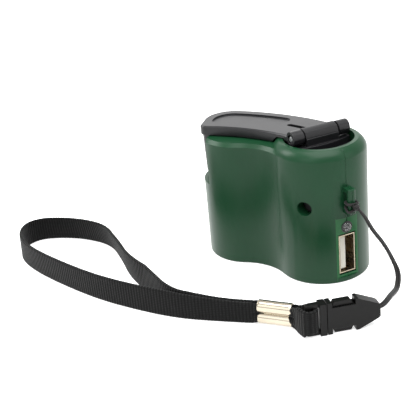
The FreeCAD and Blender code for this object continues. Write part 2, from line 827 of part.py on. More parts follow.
def build_plates(idler, rotor):
    """The lower plate carries the axles and the stator's mast; the bridge holds their tops."""
    low, high = value(PLATE_BOTTOM), value(PLATE_TOP)
    axle, gap = size("axle_radius"), size("bearing_gap")
    bush = axle + size("bush_wall")
    back, aside = tail_point(-size("post_back"), -size("post_aside"))
    post = rotor[0] + back, rotor[1] + aside
    blank = bean("plate_blank", "wall + plate_edge_gap", PLATE_BOTTOM, PLATE_TOP)
    doc.recompute()
    reach = value(RELIEF_RADIUS) - size("wall") - 2 * size("plate_edge_gap")
    shape = blank.Shape.common(Part.makeCylinder(reach, high - low, Vector(0, 0, low)))
    shape = shape.cut(hub_side(size("plate_start"), low, high))
    mast_low = value(STATOR_BOTTOM)
    bridge_low, bridge_high = value(BRIDGE_BOTTOM), value(BRIDGE_TOP)
    shape = shape.fuse([
        round_bar(size("mast_radius"), mast_low, low, rotor),
        round_bar(size("post_radius"), high, bridge_low, post),
    ])
    shape = shape.cut([
        round_bar(axle, low, high, idler),
        round_bar(bush, low, high, rotor),
        round_bar(size("mast_bore"), mast_low, low, rotor),
    ])
    node("gear_plate", feature("gear_plate", shape.removeSplitter()))

    well = value(WELL_RADIUS) + size("well_wall") + size("collar_gap")
    wide = size("bridge_radius")
    bridge = stadium(idler, rotor, wide, bridge_low, bridge_high)
    bridge = bridge.fuse(stadium(rotor, post, wide, bridge_low, bridge_high)).removeSplitter().cut([
        round_bar(axle, bridge_low, bridge_high, idler),
        round_bar(bush, bridge_low, bridge_high, rotor),
        round_bar(well, bridge_low, bridge_high, (0, 0)),
    ])
    node("gear_bridge", feature("gear_bridge", bridge))
    bushes = []
    for bottom, top in ((low, high), (bridge_low, bridge_high)):
        ring = round_bar(bush, bottom, top, rotor)
        bushes.append(ring.cut(round_bar(axle + gap, bottom, top, rotor)))
    node("rotor_bushes", feature("rotor_bushes", Part.makeCompound(bushes)))


def build_generator(rotor):
    """An outer rotor: a steel cup with a magnet ring turns round a wound core on the mast."""
    base, top = value(ROTOR_BOTTOM), value(ROTOR_TOP)
    outer = size("rotor_radius")
    inner = outer - size("rotor_wall")
    magnet = inner - size("magnet_thickness")
    web = base + size("rotor_base")
    cup = round_bar(outer, base, top, rotor).cut([
        round_bar(inner, web, top, rotor),
        round_bar(size("axle_radius"), base, top, rotor),
    ])
    node("rotor_cup", feature("rotor_cup", cup))
    end = size("magnet_end_gap")
    ring = round_bar(inner, web + end, top - end, rotor).cut(round_bar(magnet, web + end, top - end, rotor))
    node("rotor_magnet", feature("rotor_magnet", ring))
    build_stator(rotor)


def build_stator(rotor):
    """A core with one pole and one closed winding for each turn of the pattern."""
    low, high = value(STATOR_BOTTOM), value(STATOR_TOP)
    depth = high - low
    outer, mast = size("stator_radius"), size("mast_radius")
    poles = int(size("stator_poles"))
    pole, shoe_deep, ring = size("pole_width"), size("shoe_depth"), size("stator_ring")
    coil_start = mast + 1.5 * ring
    coil_run = outer - 1.25 * shoe_deep - coil_start
    coil_wide, over = size("coil_width"), size("coil_end")
    teeth = []
    coils = []
    for index in range(poles):
        neck = Part.makeBox(outer - mast - ring / 2 - shoe_deep / 2, pole, depth,
                            Vector(mast + ring / 2, -pole / 2, low))
        shoe = round_bar(outer, low, high, (0, 0)).cut(round_bar(outer - shoe_deep, low, high, (0, 0)))
        shoe = shoe.common(
            Part.makeBox(outer, size("shoe_width"), depth, Vector(0, -size("shoe_width") / 2, low))
        )
        coil = Part.makeBox(coil_run, coil_wide, depth + 2 * over,
                            Vector(coil_start, -coil_wide / 2, low - over))
        coil = coil.cut(Part.makeBox(outer, pole, depth, Vector(mast, -pole / 2, low)))
        for shape in (neck, shoe, coil):
            shape.rotate(Vector(), Vector(0, 0, 1), 360.0 * index / poles)
        teeth += [neck, shoe]
        coils.append(coil.translated(Vector(rotor[0], rotor[1], 0)))
    core = round_bar(mast + ring, low, high, (0, 0)).fuse(teeth)
    core = core.cut(round_bar(mast, low, high, (0, 0))).removeSplitter()
    node("stator_core", feature("stator_core", core.translated(Vector(rotor[0], rotor[1], 0))))
    node("stator_coils", feature("stator_coils", Part.makeCompound(coils)))


# ---------------------------------------------------------------- crank
def spindle_end(low, high):
    """The spindle's lower end: a round with one flat, which drives the gear."""
    radius = size("spindle_end_radius")
    bar = round_bar(radius, low, high, (0, 0))
    flat = Part.makeBox(radius, 3 * radius, high - low, Vector(size("spindle_flat"), -1.5 * radius, low))
    return bar.cut(flat)


def hub_knuckle():
    """The middle knuckle: a block across the hinge with bevelled shoulders and a small step in
    front. The profile's points lie round the hinge's axis."""
    half = size("hub_knuckle_half")
    hinge = value(HINGE_HEIGHT)
    foot = value(DISC_TOP) - hinge
    profile = [
        (-2.3, foot), (-2.3, 1.3), (-0.9, 2.4), (0.2, 2.4), (1.75, 1.7), (2.45, 0.0),
        (2.45, -0.35), (2.75, -0.35), (2.75, foot),
    ]
    corners = [Vector(x, -half, hinge + z) for x, z in profile]
    return Part.Face(Part.makePolygon(corners + corners[:1])).extrude(Vector(0, 2 * half, 0))


def build_hub():
    disc = cylinder(
        "hub_disc", DISC_RADIUS, "disc_height - running_gap", z=f"{WELL_FLOOR} + running_gap"
    )
    soft = eased("hub_disc_soft", disc, "disc_bevel", DISC_TOP, "Part::Chamfer")
    spindle = cylinder(
        "hub_spindle", "spindle_radius", "floor_thickness + 2 * running_gap",
        z=f"{WELL_UNDERSIDE} - running_gap",
    )
    end = feature("hub_drive_end", spindle_end(value(DRIVE_BOTTOM), value(WELL_UNDERSIDE)))
    bulge = cylinder(
        "pedestal_bulge_round", "pedestal_bulge", "pedestal_height + disc_bevel",
        x="pedestal_front - pedestal_bulge", z=f"{DISC_TOP} - disc_bevel",
    )
    round_side = cylinder(
        "pedestal_round", f"{DISC_RADIUS} - disc_bevel", "pedestal_height + disc_bevel",
        z=f"{DISC_TOP} - disc_bevel",
    )
    front = box(
        "pedestal_front_part",
        ("-pedestal_back", DISC_RADIUS),
        ("-hub_lobe_radius", "hub_lobe_radius"),
        (f"{DISC_TOP} - disc_bevel", PEDESTAL_TOP),
    )
    pedestal = common("pedestal", bulge, round_side, front)
    knuckle = feature("hub_knuckle", hub_knuckle())
    mass = fuse("hub_mass", soft, spindle, end, pedestal, knuckle)
    pin_hole = cylinder(
        "hub_pin_hole", "hinge_pin_radius", "2 * hub_lobe_radius", y="-hub_lobe_radius", z=HINGE_HEIGHT,
        along="Y",
    )
    thread = cylinder(
        "hub_screw_hole", "hub_screw_radius", "hub_screw_depth + washer_thickness", z=DRIVE_BOTTOM
    )
    node("crank_hub", cut("crank_hub", mass, pin_hole, thread))
    node("hinge_pin", cylinder(
        "hinge_pin", "hinge_pin_radius", f"2 * ({HINGE_HALF} - hinge_pin_inset)",
        y=f"hinge_pin_inset - ({HINGE_HALF})", z=HINGE_HEIGHT, along="Y",
    ))
    low = f"{DRIVE_BOTTOM} - washer_thickness"
    washer = cut(
        "hub_washer",
        cylinder("hub_washer_disc", "washer_radius", "washer_thickness", z=low),
        cylinder("hub_washer_hole", "hub_screw_radius", "washer_thickness", z=low),
    )
    node("hub_washer", washer)
    screw = fuse(
        "hub_screw",
        cylinder("hub_screw_end", "hub_screw_head", "hub_screw_head_height",
                 z=f"{low} - hub_screw_head_height"),
        cylinder("hub_screw_shank", "hub_screw_radius", "hub_screw_depth + washer_thickness", z=low),
    )
    node("hub_screw", screw)


def bend_point(radius, angle):
    """A plan point from a radius and an angle about the arm's bend."""
    return Vector(size("arm_centre_x"), size("arm_centre_y"), 0) + polar(radius, angle)


def bend_corner(radius, rounding, angle, side, end):
    """Start, middle and end of a rounded corner between an arc about the arm's bend and the
    straight edge across it. Side is 1 on the outer arc and -1 on the inner one; end is 1 at the
    last angle and -1 at the first."""
    reach = radius - side * rounding
    lag = math.asin(rounding / reach)
    heart = bend_point(reach, angle - end * lag)
    on_arc = bend_point(radius, angle - end * lag)
    on_end = bend_point(reach * math.cos(lag), angle)
    middle = heart + (on_arc + on_end - heart * 2).normalize() * rounding
    return on_arc, middle, on_end


def sector_block(radii, degrees, roundings, low, high):
    """A bar bent about the arm's centre. Radii and degrees are pairs; the four roundings are for
    the first end's inner and outer corner, then the last end's outer and inner one."""
    inner, outer = radii
    first, last = (math.radians(angle) for angle in degrees)
    middle = (first + last) / 2
    corners = [
        bend_corner(inner, roundings[0], first, -1, -1),
        bend_corner(outer, roundings[1], first, 1, -1)[::-1],
        bend_corner(outer, roundings[2], last, 1, 1),
        bend_corner(inner, roundings[3], last, -1, 1)[::-1],
    ]
    edges = [Part.Arc(*corner) for corner in corners]
    edges += [
        Part.LineSegment(corners[0][2], corners[1][0]),
        Part.Arc(corners[1][2], bend_point(outer, middle), corners[2][0]),
        Part.LineSegment(corners[2][2], corners[3][0]),
        Part.Arc(corners[3][2], bend_point(inner, middle), corners[0][0]),
    ]
    outline = Part.Wire(Part.__sortEdges__([edge.toShape() for edge in edges]))
    return Part.Face(outline).extrude(Vector(0, 0, high - low)).translated(Vector(0, 0, low))


def knob_place():
    bearing = math.radians(180 + size("knob_bearing"))
    return size("knob_distance") * math.cos(bearing), size("knob_distance") * math.sin(bearing)


def arm_slab(inner, outer):
    """The arm's bent bar with a bevelled top, cleared over the ring and back from the hinge."""
    under, top = value(ARM_UNDER), value(ARM_TOP)
    near, far = size("arm_near_corner"), size("arm_far_corner")
    slab = sector_block(
        (inner, outer), (size("arm_start_angle"), size("arm_tip_angle")), (near, near, far, near),
        under, top
    )
    root = size("arm_root")
    reach = 2 * outer
    slab = slab.cut(Part.makeBox(reach, reach, reach, Vector(-root, -outer, 0)))
    edges = [
        edge for edge in slab.Edges
        if abs(edge.BoundBox.ZMin - top) < 1e-6 and abs(edge.BoundBox.ZMax - top) < 1e-6
        and edge.BoundBox.XMin < -root - 1e-3
    ]
    slab = slab.makeChamfer(size("arm_bevel"), edges)
    roof = value(RING_TOP) + size("running_gap")
    low_radius, high_radius = size("hub_lobe_radius"), value(RIM_RADIUS) + size("arm_relief")
    return slab.cut(Part.makeCone(low_radius, high_radius, roof - under, Vector(0, 0, under)))


def arm_knuckles():
    """Two knuckles outside the hub's one, each on a short root that reaches the slab."""
    hinge, half = value(HINGE_HEIGHT), value(HINGE_HALF)
    root = 1.25 * size("arm_root")
    roof, top = value(RING_TOP) + size("running_gap"), value(ARM_TOP)
    inside = size("hub_knuckle_half") + size("knuckle_gap")
    pieces = []
    for start in (inside, -half):
        barrel = Part.makeCylinder(
            size("knuckle_radius"), half - inside, Vector(0, start, hinge), Vector(0, 1, 0)
        )
        web = Part.makeBox(root, half - inside, top - roof, Vector(-root, start, roof))
        pieces += [barrel, web]
    return pieces


def build_arm():
    middle, half = size("arm_bend_radius"), size("arm_width") / 2
    inner, outer = middle - half, middle + half
    under, top = value(ARM_UNDER), value(ARM_TOP)
    hinge, hinge_half = value(HINGE_HEIGHT), value(HINGE_HALF)
    arm = arm_slab(inner, outer).fuse(arm_knuckles())
    along = Vector(0, 1, 0)
    deep = size("knuckle_bore_depth")
    tools = [
        Part.makeCylinder(
            size("hinge_pin_radius") + size("bearing_gap"), 2 * outer, Vector(0, -outer, hinge), along
        ),
        Part.makeCylinder(size("knuckle_bore_radius"), deep, Vector(0, -hinge_half, hinge), along),
        Part.makeCylinder(size("knuckle_bore_radius"), deep, Vector(0, hinge_half - deep, hinge), along),
    ]
    rim, near_rim = size("panel_rim"), size("panel_near_rim")
    corner = size("panel_corner")
    panel_end = size("arm_tip_angle") - math.degrees(rim / middle)
    tools.append(sector_block(
        (inner + near_rim, outer - rim), (size("panel_start_angle"), panel_end),
        (corner, corner, size("panel_tip_corner"), corner), top - size("panel_depth"), top + rim
    ))
    slot_middle, slot_half = size("slot_bend_radius"), size("slot_width") / 2
    tools.append(sector_block(
        (slot_middle - slot_half, slot_middle + slot_half),
        (size("arm_start_angle"), size("slot_end_angle")), [0.9 * slot_half] * 4, 0, top + rim
    ))
    tools.append(round_bar(
        size("knob_screw_radius"), under, under + size("knob_screw_depth"), knob_place()
    ))
    node("crank_arm", feature("crank_arm", arm.cut(tools).removeSplitter()))


def build_knob():
    """A slim grip that turns on a shouldered screw."""
    x, y = knob_place()
    top, low, under = value(KNOB_TOP), value(KNOB_END), value(ARM_UNDER)
    roof = low + size("knob_head_room")
    body, profile = body_with_sketch("crank_knob", "XZ_Plane")
    big, small, edge = size("knob_radius"), size("knob_end_radius"), size("knob_edge")
    bore = size("knob_pin_radius") + size("bearing_gap")
    head = size("knob_head_radius") + size("collar_gap")
    points = [
        (bore, top), (big - edge, top), (big, top - edge), (small, low + 2 * edge),
        (small - edge, low), (head, low), (head, roof), (bore, roof),
    ]
    corners = [Vector(px, pz, 0) for px, pz in points]
    for a, b in zip(corners, corners[1:] + corners[:1]):
        profile.addGeometry(Part.LineSegment(a, b), False)
    turn = body.newObject("PartDesign::Revolution", "knob_turn")
    turn.Profile = profile
    turn.ReferenceAxis = (profile, ["V_Axis"])
    turn.Angle = 360
    body.Placement = Placement(Vector(x, y, 0), Rotation())
    node("crank_knob", body)
    thread = size("knob_screw_radius")
    screw = round_bar(size("knob_head_radius"), roof - size("knob_head_height"), roof, (x, y)).fuse([
        round_bar(size("knob_pin_radius"), roof, under, (x, y)),
        round_bar(thread, under, under + size("knob_screw_depth"), (x, y)),
    ])
    node("knob_screw", feature("knob_screw", screw.removeSplitter()))


# ---------------------------------------------------------------- socket, lamp and board
def build_electrics():
    build_socket()
    build_lamp()
    build_board()


def build_socket():
    """The socket's metal shell with its insert and four contacts, standing on its short side."""
    middle = (value(WINDOW_BOTTOM) + value(WINDOW_TOP)) / 2
    height, width, depth = size("usb_height"), size("usb_width"), size("usb_depth")
    front = value(PAD_FACE) - size("usb_inset")
    gauge = size("usb_sheet")
    outside = Vector(front - depth, -width / 2, middle - height / 2)
    inside = outside + Vector(gauge, gauge, gauge)
    shell = Part.makeBox(depth, width, height, outside)
    room = Part.makeBox(depth, width - 2 * gauge, height - 2 * gauge, inside)
    node("usb_shell", feature("usb_shell", shell.cut(room)))
    block = Part.makeBox(size("usb_block"), width - 2 * gauge, height - 2 * gauge, inside)
    tongue_y = inside.y + size("tongue_gap")
    thick, tall = size("tongue_thickness"), size("tongue_height")
    tongue = Part.makeBox(
        depth - gauge - size("tongue_inset"), thick, tall, Vector(inside.x, tongue_y, middle - tall / 2)
    )
    node("usb_insert", feature("usb_insert", block.fuse(tongue).removeSplitter()))
    strips = []
    wide = size("contact_width")
    for offset in (-3.5, -1.0, 1.0, 3.5):
        corner = Vector(inside.x + size("usb_block"), tongue_y + thick, middle + offset - wide / 2)
        strips.append(Part.makeBox(size("contact_length"), size("contact_gauge"), wide, corner))
    node("usb_contacts", feature("usb_contacts", Part.makeCompound(strips)))


def build_lamp():
    """A round lamp with a domed tip, and a rim behind the wall that is flat on its underside."""
    height, radius, long = value(LAMP_HEIGHT), size("lamp_radius"), size("lamp_length")
    dome_x = value(PAD_FACE) + size("lamp_proud") - radius
    back = Vector(dome_x - long, 0, height)
    out = Vector(1, 0, 0)
    flange = size("lamp_flange")
    rim = Part.makeCylinder(radius + flange, 2 * flange, back, out)
    flat = Part.makeBox(long, 2 * long, 2 * long, back - Vector(0, long, radius + flange / 2))
    dome = Part.makeSphere(radius, Vector(dome_x, 0, height))
    lamp = Part.makeCylinder(radius, long, back, out).fuse([rim.common(flat), dome])
    node("lamp", feature("lamp", lamp.removeSplitter()))


def build_board():
    """The circuit board stands beside the socket; its parts face the near wall."""
    face = -size("usb_width") / 2 - size("board_gap")
    thick, low = size("board_thickness"), size("board_bottom")
    back = size("board_back")
    front = size("hub_lobe_radius") - size("wall") - size("board_end_gap")
    height = value(BOARD_HEIGHT)
    board = Part.makeBox(front + back, thick, height, Vector(-back, face - thick, low))
    node("circuit_board", feature("circuit_board", board))

    def on_board(along, up, depth):
        """A place from the board's back lower corner, this deep in front of its near face."""
        return Vector(along - back, face - thick - depth, low + up)

    radius, seal = size("can_radius"), size("can_seal")
    foot = on_board(4.0, 1.3, radius)
    can = Part.makeCylinder(radius, height - size("can_top_gap") - 1.3, foot + Vector(0, 0, seal)).fuse(
        Part.makeCylinder(radius - seal, seal, foot)
    )
    node("capacitor", feature("capacitor", can))
    high = size("chip_height")
    chip = Part.makeBox(size("chip_length"), high, size("chip_width"), on_board(9.2, 6.7, high))
    node("regulator_chip", feature("regulator_chip", chip))
    side, high = size("choke_side"), size("choke_height")
    choke = Part.makeBox(side, high, side, on_board(9.5, 1.1, high))
    node("choke", feature("choke", choke))
    diodes = []
    high = size("diode_height")
    for column in range(2):
        for row in range(3):
            up = height - size("diode_top_gap") + size("diode_row") * row
            corner = on_board(1.5 + size("diode_column") * column, up, high)
            diodes.append(Part.makeBox(size("diode_length"), high, size("diode_width"), corner))
    node("diodes", feature("diodes", Part.makeCompound(diodes)))


# ---------------------------------------------------------------- strap
def filleted_route(points):
    """Straight runs joined by tangent arcs, each arc as large as its two runs allow."""
    edges = []
    radii = []
    start = points[0]
    for before, corner, after in zip(points, points[1:], points[2:]):
        into, out = corner - before, after - corner
        turn = into.getAngle(out)
        reach = 0.45 * min(into.Length, out.Length)
        radius = reach / math.tan(turn / 2)
        arc_in = corner - into.normalize() * reach
        arc_out = corner + out.normalize() * reach
        inward = (arc_in + arc_out) * 0.5 - corner
        centre = corner + inward.normalize() * math.hypot(radius, reach)
        middle = centre - (centre - corner).normalize() * radius
        edges.append(Part.LineSegment(start, arc_in).toShape())
        edges.append(Part.Arc(arc_in, middle, arc_out).toShape())
        radii.append(radius)
        start = arc_out
    edges.append(Part.LineSegment(start, points[-1]).toShape())
    return edges, radii


CORD_ROUTE = [
    (19.6, 0.75, 27.1),
    (20.3, 2.4, 23.8),
    (21.2, 4.9, 19.2),
    (22.2, 8.0, 14.0),
    (23.2, 10.9, 8.6),
    (24.6, 12.4, 3.6),
    (28.0, 9.9, 0.9),
    (33.0, 5.2, 1.4),
    (38.2, 0.9, 3.7),
    (41.03, -3.93, 6.3),
    (39.35, -10.31, 6.3),
]

WEB_ROUTE = [
    (21.18, -36.77),
    (13.0, -46.6),
    (5.4, -55.2),
    (-4.8, -63.0),
    (-20.0, -72.4),
    (-37.0, -79.6),
    (-52.5, -84.9),
    (-66.0, -88.0),
    (-76.6, -85.6),
    (-78.7, -78.0),
    (-74.6, -69.8),
    (-67.5, -61.5),
    (-56.0, -55.2),
    (-42.0, -56.2),
    (-28.0, -58.4),
    (-12.0, -56.6),
    (3.0, -51.2),
    (12.4, -43.6),
    (19.98, -35.43),
]


def build_strap():
    cord_r = size("cord_diameter") / 2
    points = [Vector(*place) for place in CORD_ROUTE]
    edges, radii = filleted_route(points)
    path = Part.Wire(edges)
    heading = points[1] - points[0]
    profile = Part.Wire(Part.Circle(points[0], heading, cord_r).toShape())
    tube = path.makePipeShell([profile], True, True)
    print("cord radii", [round(r, 1) for r in radii], "length", round(path.Length, 1))
    print("cord volume", round(tube.Volume, 2), "expected", round(math.pi * cord_r ** 2 * path.Length, 2))
    node("lanyard_cord", feature("lanyard_cord", tube))
    build_hitch()
    build_web()
    build_buckle()


def build_hitch():
    """The cord's closed loop round the eye's bar: a square band with rounded corners."""
    gauge, gap = size("hitch_gauge"), size("hitch_gap")
    inner_x = value(EYE_FACE) - size("eye_bar") - gap
    run = size("eye_bar") + 2 * gap
    half = size("eye_width") / 2 + gap
    low = value(EYE_BOTTOM) + size("hitch_rise") - gauge / 2
    hole = Part.makeBox(run, 2 * half, gauge, Vector(inner_x, -half, low))
    block = Part.makeBox(
        run + 2 * gauge, 2 * (half + gauge), gauge, Vector(inner_x - gauge, -half - gauge, low)
    )
    upright = [edge for edge in block.Edges if edge.BoundBox.ZLength > gauge / 2]
    node("cord_hitch", feature("cord_hitch", block.makeFillet(gauge, upright).cut(hole)))


def band(points, thickness, low, high):
    """A flat strap on edge along a plan route: each run and arc is offset to both sides."""
    edges, radii = filleted_route([Vector(x, y, 0) for x, y in points])
    up = Vector(0, 0, 1)
    sides = {-1: [], 1: []}
    for edge in edges:
        first, last = edge.FirstParameter, edge.LastParameter
        for sign in sides:
            spots = []
            for share in (0.0, 0.5, 1.0):
                at = first + (last - first) * share
                across = up.cross(edge.tangentAt(at)).normalize()
                spots.append(edge.valueAt(at) + across * sign * thickness / 2)
            if edge.Curve.TypeId == "Part::GeomLine":
                sides[sign].append(Part.LineSegment(spots[0], spots[2]).toShape())
            else:
                sides[sign].append(Part.Arc(*spots).toShape())
    ends = []
    for where in (0, -1):
        ends.append(Part.LineSegment(
            sides[-1][where].Vertexes[where].Point, sides[1][where].Vertexes[where].Point
        ).toShape())
    outline = Part.Wire(Part.__sortEdges__(sides[-1] + sides[1] + ends))
    solid = Part.Face(outline).extrude(up * (high - low))
    length = sum(edge.Length for edge in edges)
    print("band length", round(length, 1), "radii", [round(r, 1) for r in radii])
    return solid.translated(up * low)


FERRULE_START = Vector(20.8, -35.9, 0)
FERRULE_RUN = Vector(0.739, 0.6735, 0)


def barrel_pair(radius, start, length):
    """Two upright-stacked bars along the ferrule, which share the middle plane."""
    pitch = size("ferrule_radius")
    bars = []
    for level in (pitch, 3 * pitch - size("ferrule_overlap")):
        place = FERRULE_START + FERRULE_RUN * start + Vector(0, 0, level)
        bars.append(Part.makeCylinder(radius, length, place, FERRULE_RUN))
    return bars


def build_web():
    """The wrist loop and the crimped two-barrel ferrule that joins it to the short end."""
    webbing = band(WEB_ROUTE, size("web_thickness"), size("web_lift"), size("web_width"))
    node("strap_webbing", feature("strap_webbing", webbing))
    radius, length = size("ferrule_radius"), size("ferrule_length")
    outer = barrel_pair(radius, 0, length)
    shape = outer[0].fuse(outer[1]).cut(barrel_pair(radius - size("ferrule_wall"), 0, length))
    node("ferrule", feature("ferrule", shape.removeSplitter()))


def buckle_placement():
    """Local X runs from the strap to the cord, local Y stands up, local Z faces out."""
    heading = math.radians(size("buckle_heading"))
    run = Vector(math.cos(heading), math.sin(heading), 0)
    out = run.cross(Vector(0, 0, 1))
    frame = FreeCAD.Matrix(
        run.x, 0, out.x, size("buckle_x"),
        run.y, 0, out.y, size("buckle_y"),
        0, 1, 0, size("web_lift"),
        0, 0, 0, 1,
    )
    return Placement(frame)


def polygon_block(points, low, high):
    corners = [Vector(x, y, low) for x, y in points]
    return Part.Face(Part.makePolygon(corners + corners[:1])).extrude(Vector(0, 0, high - low))


def both_edges(points):
    """A buckle outline and its mirror image across the buckle's middle."""
    width = size("buckle_width")
    return points, [(x, width - y) for x, y in points]


def build_buckle():
    place = buckle_placement()
    build_buckle_socket(place)
    build_buckle_clip(place)
    build_strap_end(place)


def build_buckle_socket(place):
    """The half on the cord: a flat sleeve with a side window for each of the clip's levers."""
    width, half, length = size("buckle_width"), size("buckle_thickness") / 2, size("socket_length")
    mid = width / 2
    wall, tip = size("buckle_wall"), size("socket_end_width") / 2
    taper, side = size("socket_taper_start"), size("buckle_margin")
    outline = [
        (0, 0), (taper - 0.6, 0), (length - 0.8, mid - tip - 0.3), (length, mid - tip + 0.4),
        (length, mid + tip - 0.4), (length - 0.8, mid + tip + 0.3), (taper - 0.6, width), (0, width),
    ]
    socket = polygon_block(outline, -half, half)
    room = polygon_block([
        (-1, side - 0.6), (taper, side - 0.6), (taper + 2.2, side + 0.9), (taper + 2.2, width - side - 0.9),
        (taper, width - side + 0.6), (-1, width - side + 0.6),
    ], -half + wall, half - wall)
    open_run = size("buckle_window")
    start = (taper - open_run) / 2
    windows = [
        Part.makeBox(open_run, side + 1, 2 * half, Vector(start, low, -half))
        for low in (-1.0, width - side)
    ]
    cord_hole = Part.makeCylinder(
        size("cord_diameter") / 2 + 0.1, length - taper, Vector(taper + 2, mid, 0), Vector(1, 0, 0)
    )
    shape = socket.cut([room, cord_hole] + windows)
    node("buckle_socket", feature("buckle_socket", shape.removeSplitter(), place))


def build_buckle_clip(place):
    """The half on the strap: a flange, two levers with a tongue between them, and a strap bar."""
    width, half = size("buckle_width"), size("buckle_thickness") / 2
    mid, side = width / 2, size("buckle_margin")
    inner = half - size("buckle_wall") - size("lever_gap")
    bar_x, bar_radius = -size("strap_bar_offset"), size("strap_bar_radius")
    back = -size("flange_depth") - size("flange_gap")
    flange = Part.makeBox(size("flange_depth"), width, 2 * half, Vector(back, 0, -half))
    leg, thick = size("leg_width"), size("leg_thickness")
    start = -2 * size("flange_gap")
    pieces = [Part.makeCylinder(bar_radius, width, Vector(bar_x, 0, 0), Vector(0, 1, 0))]
    for low in (0.0, width - leg):
        pieces.append(Part.makeBox(back - bar_x, leg, thick, Vector(bar_x, low, -thick / 2)))
    lever = [
        (start, side), (1.7, side), (2.2, 0.1), (7.2, 0.1), (7.9, 1.7), (9.8, 3.0),
        (9.8, 4.0), (7.0, 3.5), (start, 3.5),
    ]
    pieces += [polygon_block(points, -inner, inner) for points in both_edges(lever)]
    tongue = size("tongue_width")
    pieces.append(Part.makeBox(
        size("tongue_length"), tongue, 2 * inner, Vector(start, mid - tongue / 2, -inner)
    ))
    node("buckle_clip", feature("buckle_clip", flange.fuse(pieces).removeSplitter(), place))


def build_strap_end(buckle):
    """The short end of webbing: round the buckle's bar, down to the ferrule and through it. It
    clears the lower leg that holds the bar."""
    gap, thick, leg = size("strap_gap"), size("leg_thickness"), size("leg_width")
    bar_x = -size("strap_bar_offset")
    foot = buckle.multVec(Vector(bar_x, 0, 0))
    bar = Vector(foot.x, foot.y, 0)
    bore = size("strap_bar_radius") + gap
    loop = bore + size("web_thickness")
    neck = FERRULE_START + FERRULE_RUN * (size("ferrule_length") + 3 * gap)
    run = bar - neck
    side = Vector(-run.y, run.x, 0).normalize()
    narrow = size("web_thickness") + gap / 2
    plan = Part.Face(Part.makePolygon([
        neck - side * narrow, bar - side * loop, bar + side * loop, neck + side * narrow,
        neck - side * narrow,
    ]))
    low, high = size("strap_end_low"), size("strap_end_high")
    up = Vector(0, 0, high - low)
    shape = plan.extrude(up).fuse(Part.makeCylinder(loop, up.z, bar)).translated(Vector(0, 0, low))
    crest = 4 * size("ferrule_radius") - 2 * size("ferrule_overlap")
    reach = 2 * run.Length
    slope = Part.makeBox(reach, reach, reach, Vector(-gap, -reach / 2, crest))
    slope.rotate(Vector(), Vector(0, 1, 0), -math.degrees(math.atan2(high - crest, run.Length)))
    slope.rotate(Vector(), Vector(0, 0, 1), math.degrees(math.atan2(run.y, run.x)))
    slope.translate(neck)
    leg_room = Part.makeBox(
        2 * loop, leg + 2 * gap, thick + 2 * gap, Vector(bar_x, -gap, -thick / 2 - gap)
    )
    leg_room.Placement = buckle.multiply(leg_room.Placement)
    shape = shape.cut([slope, Part.makeCylinder(bore, high, bar), leg_room])
    core = barrel_pair(
        size("ferrule_radius") - size("ferrule_wall") - size("bearing_gap"), gap,
        size("ferrule_length") + 2 * gap
    )
    node("strap_end", feature("strap_end", shape.fuse(core).removeSplitter()))


# ---------------------------------------------------------------- build, test and write
build_shells()
build_hub()
build_gear_train()
build_arm()
build_knob()
build_electrics()
build_strap()
doc.recompute()

for thing in doc.Objects:
    faults = [word for word in thing.State if word in ("Invalid", "Error")]
    if faults:
        raise RuntimeError(f"{thing.Name} is {faults}")

os.makedirs("parts", exist_ok=True)
for name, thing in NODES.items():
    shape = thing.Shape
    if shape.isNull() or not shape.isValid() or not shape.Solids:
        raise RuntimeError(f"{name} has no valid solid")
    print(f"{name}: {len(shape.Solids)} solid, {shape.Volume:.1f} mm3")
    shape.exportStep(f"parts/{name}.step")
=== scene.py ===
import json
import logging
import math
from dataclasses import dataclass, field
from enum import Enum
from typing import Any, Sequence

import bmesh
import bpy
import numpy as np
from mathutils import Matrix, Vector

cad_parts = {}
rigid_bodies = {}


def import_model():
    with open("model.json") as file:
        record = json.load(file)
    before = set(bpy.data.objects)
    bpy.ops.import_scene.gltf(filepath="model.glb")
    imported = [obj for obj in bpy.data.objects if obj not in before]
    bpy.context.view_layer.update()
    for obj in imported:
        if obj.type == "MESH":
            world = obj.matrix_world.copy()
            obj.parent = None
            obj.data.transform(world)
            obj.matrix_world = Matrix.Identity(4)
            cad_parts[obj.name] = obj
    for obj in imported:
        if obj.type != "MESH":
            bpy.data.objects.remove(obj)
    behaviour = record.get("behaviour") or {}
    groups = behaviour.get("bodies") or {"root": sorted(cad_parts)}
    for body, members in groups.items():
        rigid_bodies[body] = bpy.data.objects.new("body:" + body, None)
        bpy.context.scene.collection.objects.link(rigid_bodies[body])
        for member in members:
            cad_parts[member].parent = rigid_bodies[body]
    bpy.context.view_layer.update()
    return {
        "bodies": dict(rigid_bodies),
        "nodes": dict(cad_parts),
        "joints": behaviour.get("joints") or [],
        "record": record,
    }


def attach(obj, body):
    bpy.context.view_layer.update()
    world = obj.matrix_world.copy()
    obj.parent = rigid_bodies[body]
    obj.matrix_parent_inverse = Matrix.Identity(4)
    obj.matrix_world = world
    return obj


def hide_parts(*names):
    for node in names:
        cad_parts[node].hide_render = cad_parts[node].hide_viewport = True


LOG = logging.getLogger("hand_crank_charger")
MM = 0.001
WHITE = (1.0, 1.0, 1.0, 1.0)
WAVE_STEP = math.tau / 20  # a wave texture of scale one repeats after this step
WELD = 2e-6  # points closer than this become one, in metres
SHORTEST = 1e-6  # edges shorter than this are dropped, in metres
FLAT = math.radians(0.05)  # faces that turn less than this become one
SHARP = math.radians(28.0)  # faces that turn at least this far meet in an edge
ON_SEAM = 0.005 * MM  # points this close to the seam's plane lie on it
GROOVE = 0.14 * MM  # the slope on each side of the parting line

Socket = bpy.types.NodeSocket
Measure = float | np.ndarray
Profile = tuple[tuple[float, float], ...]
Place = tuple[float, float, float]


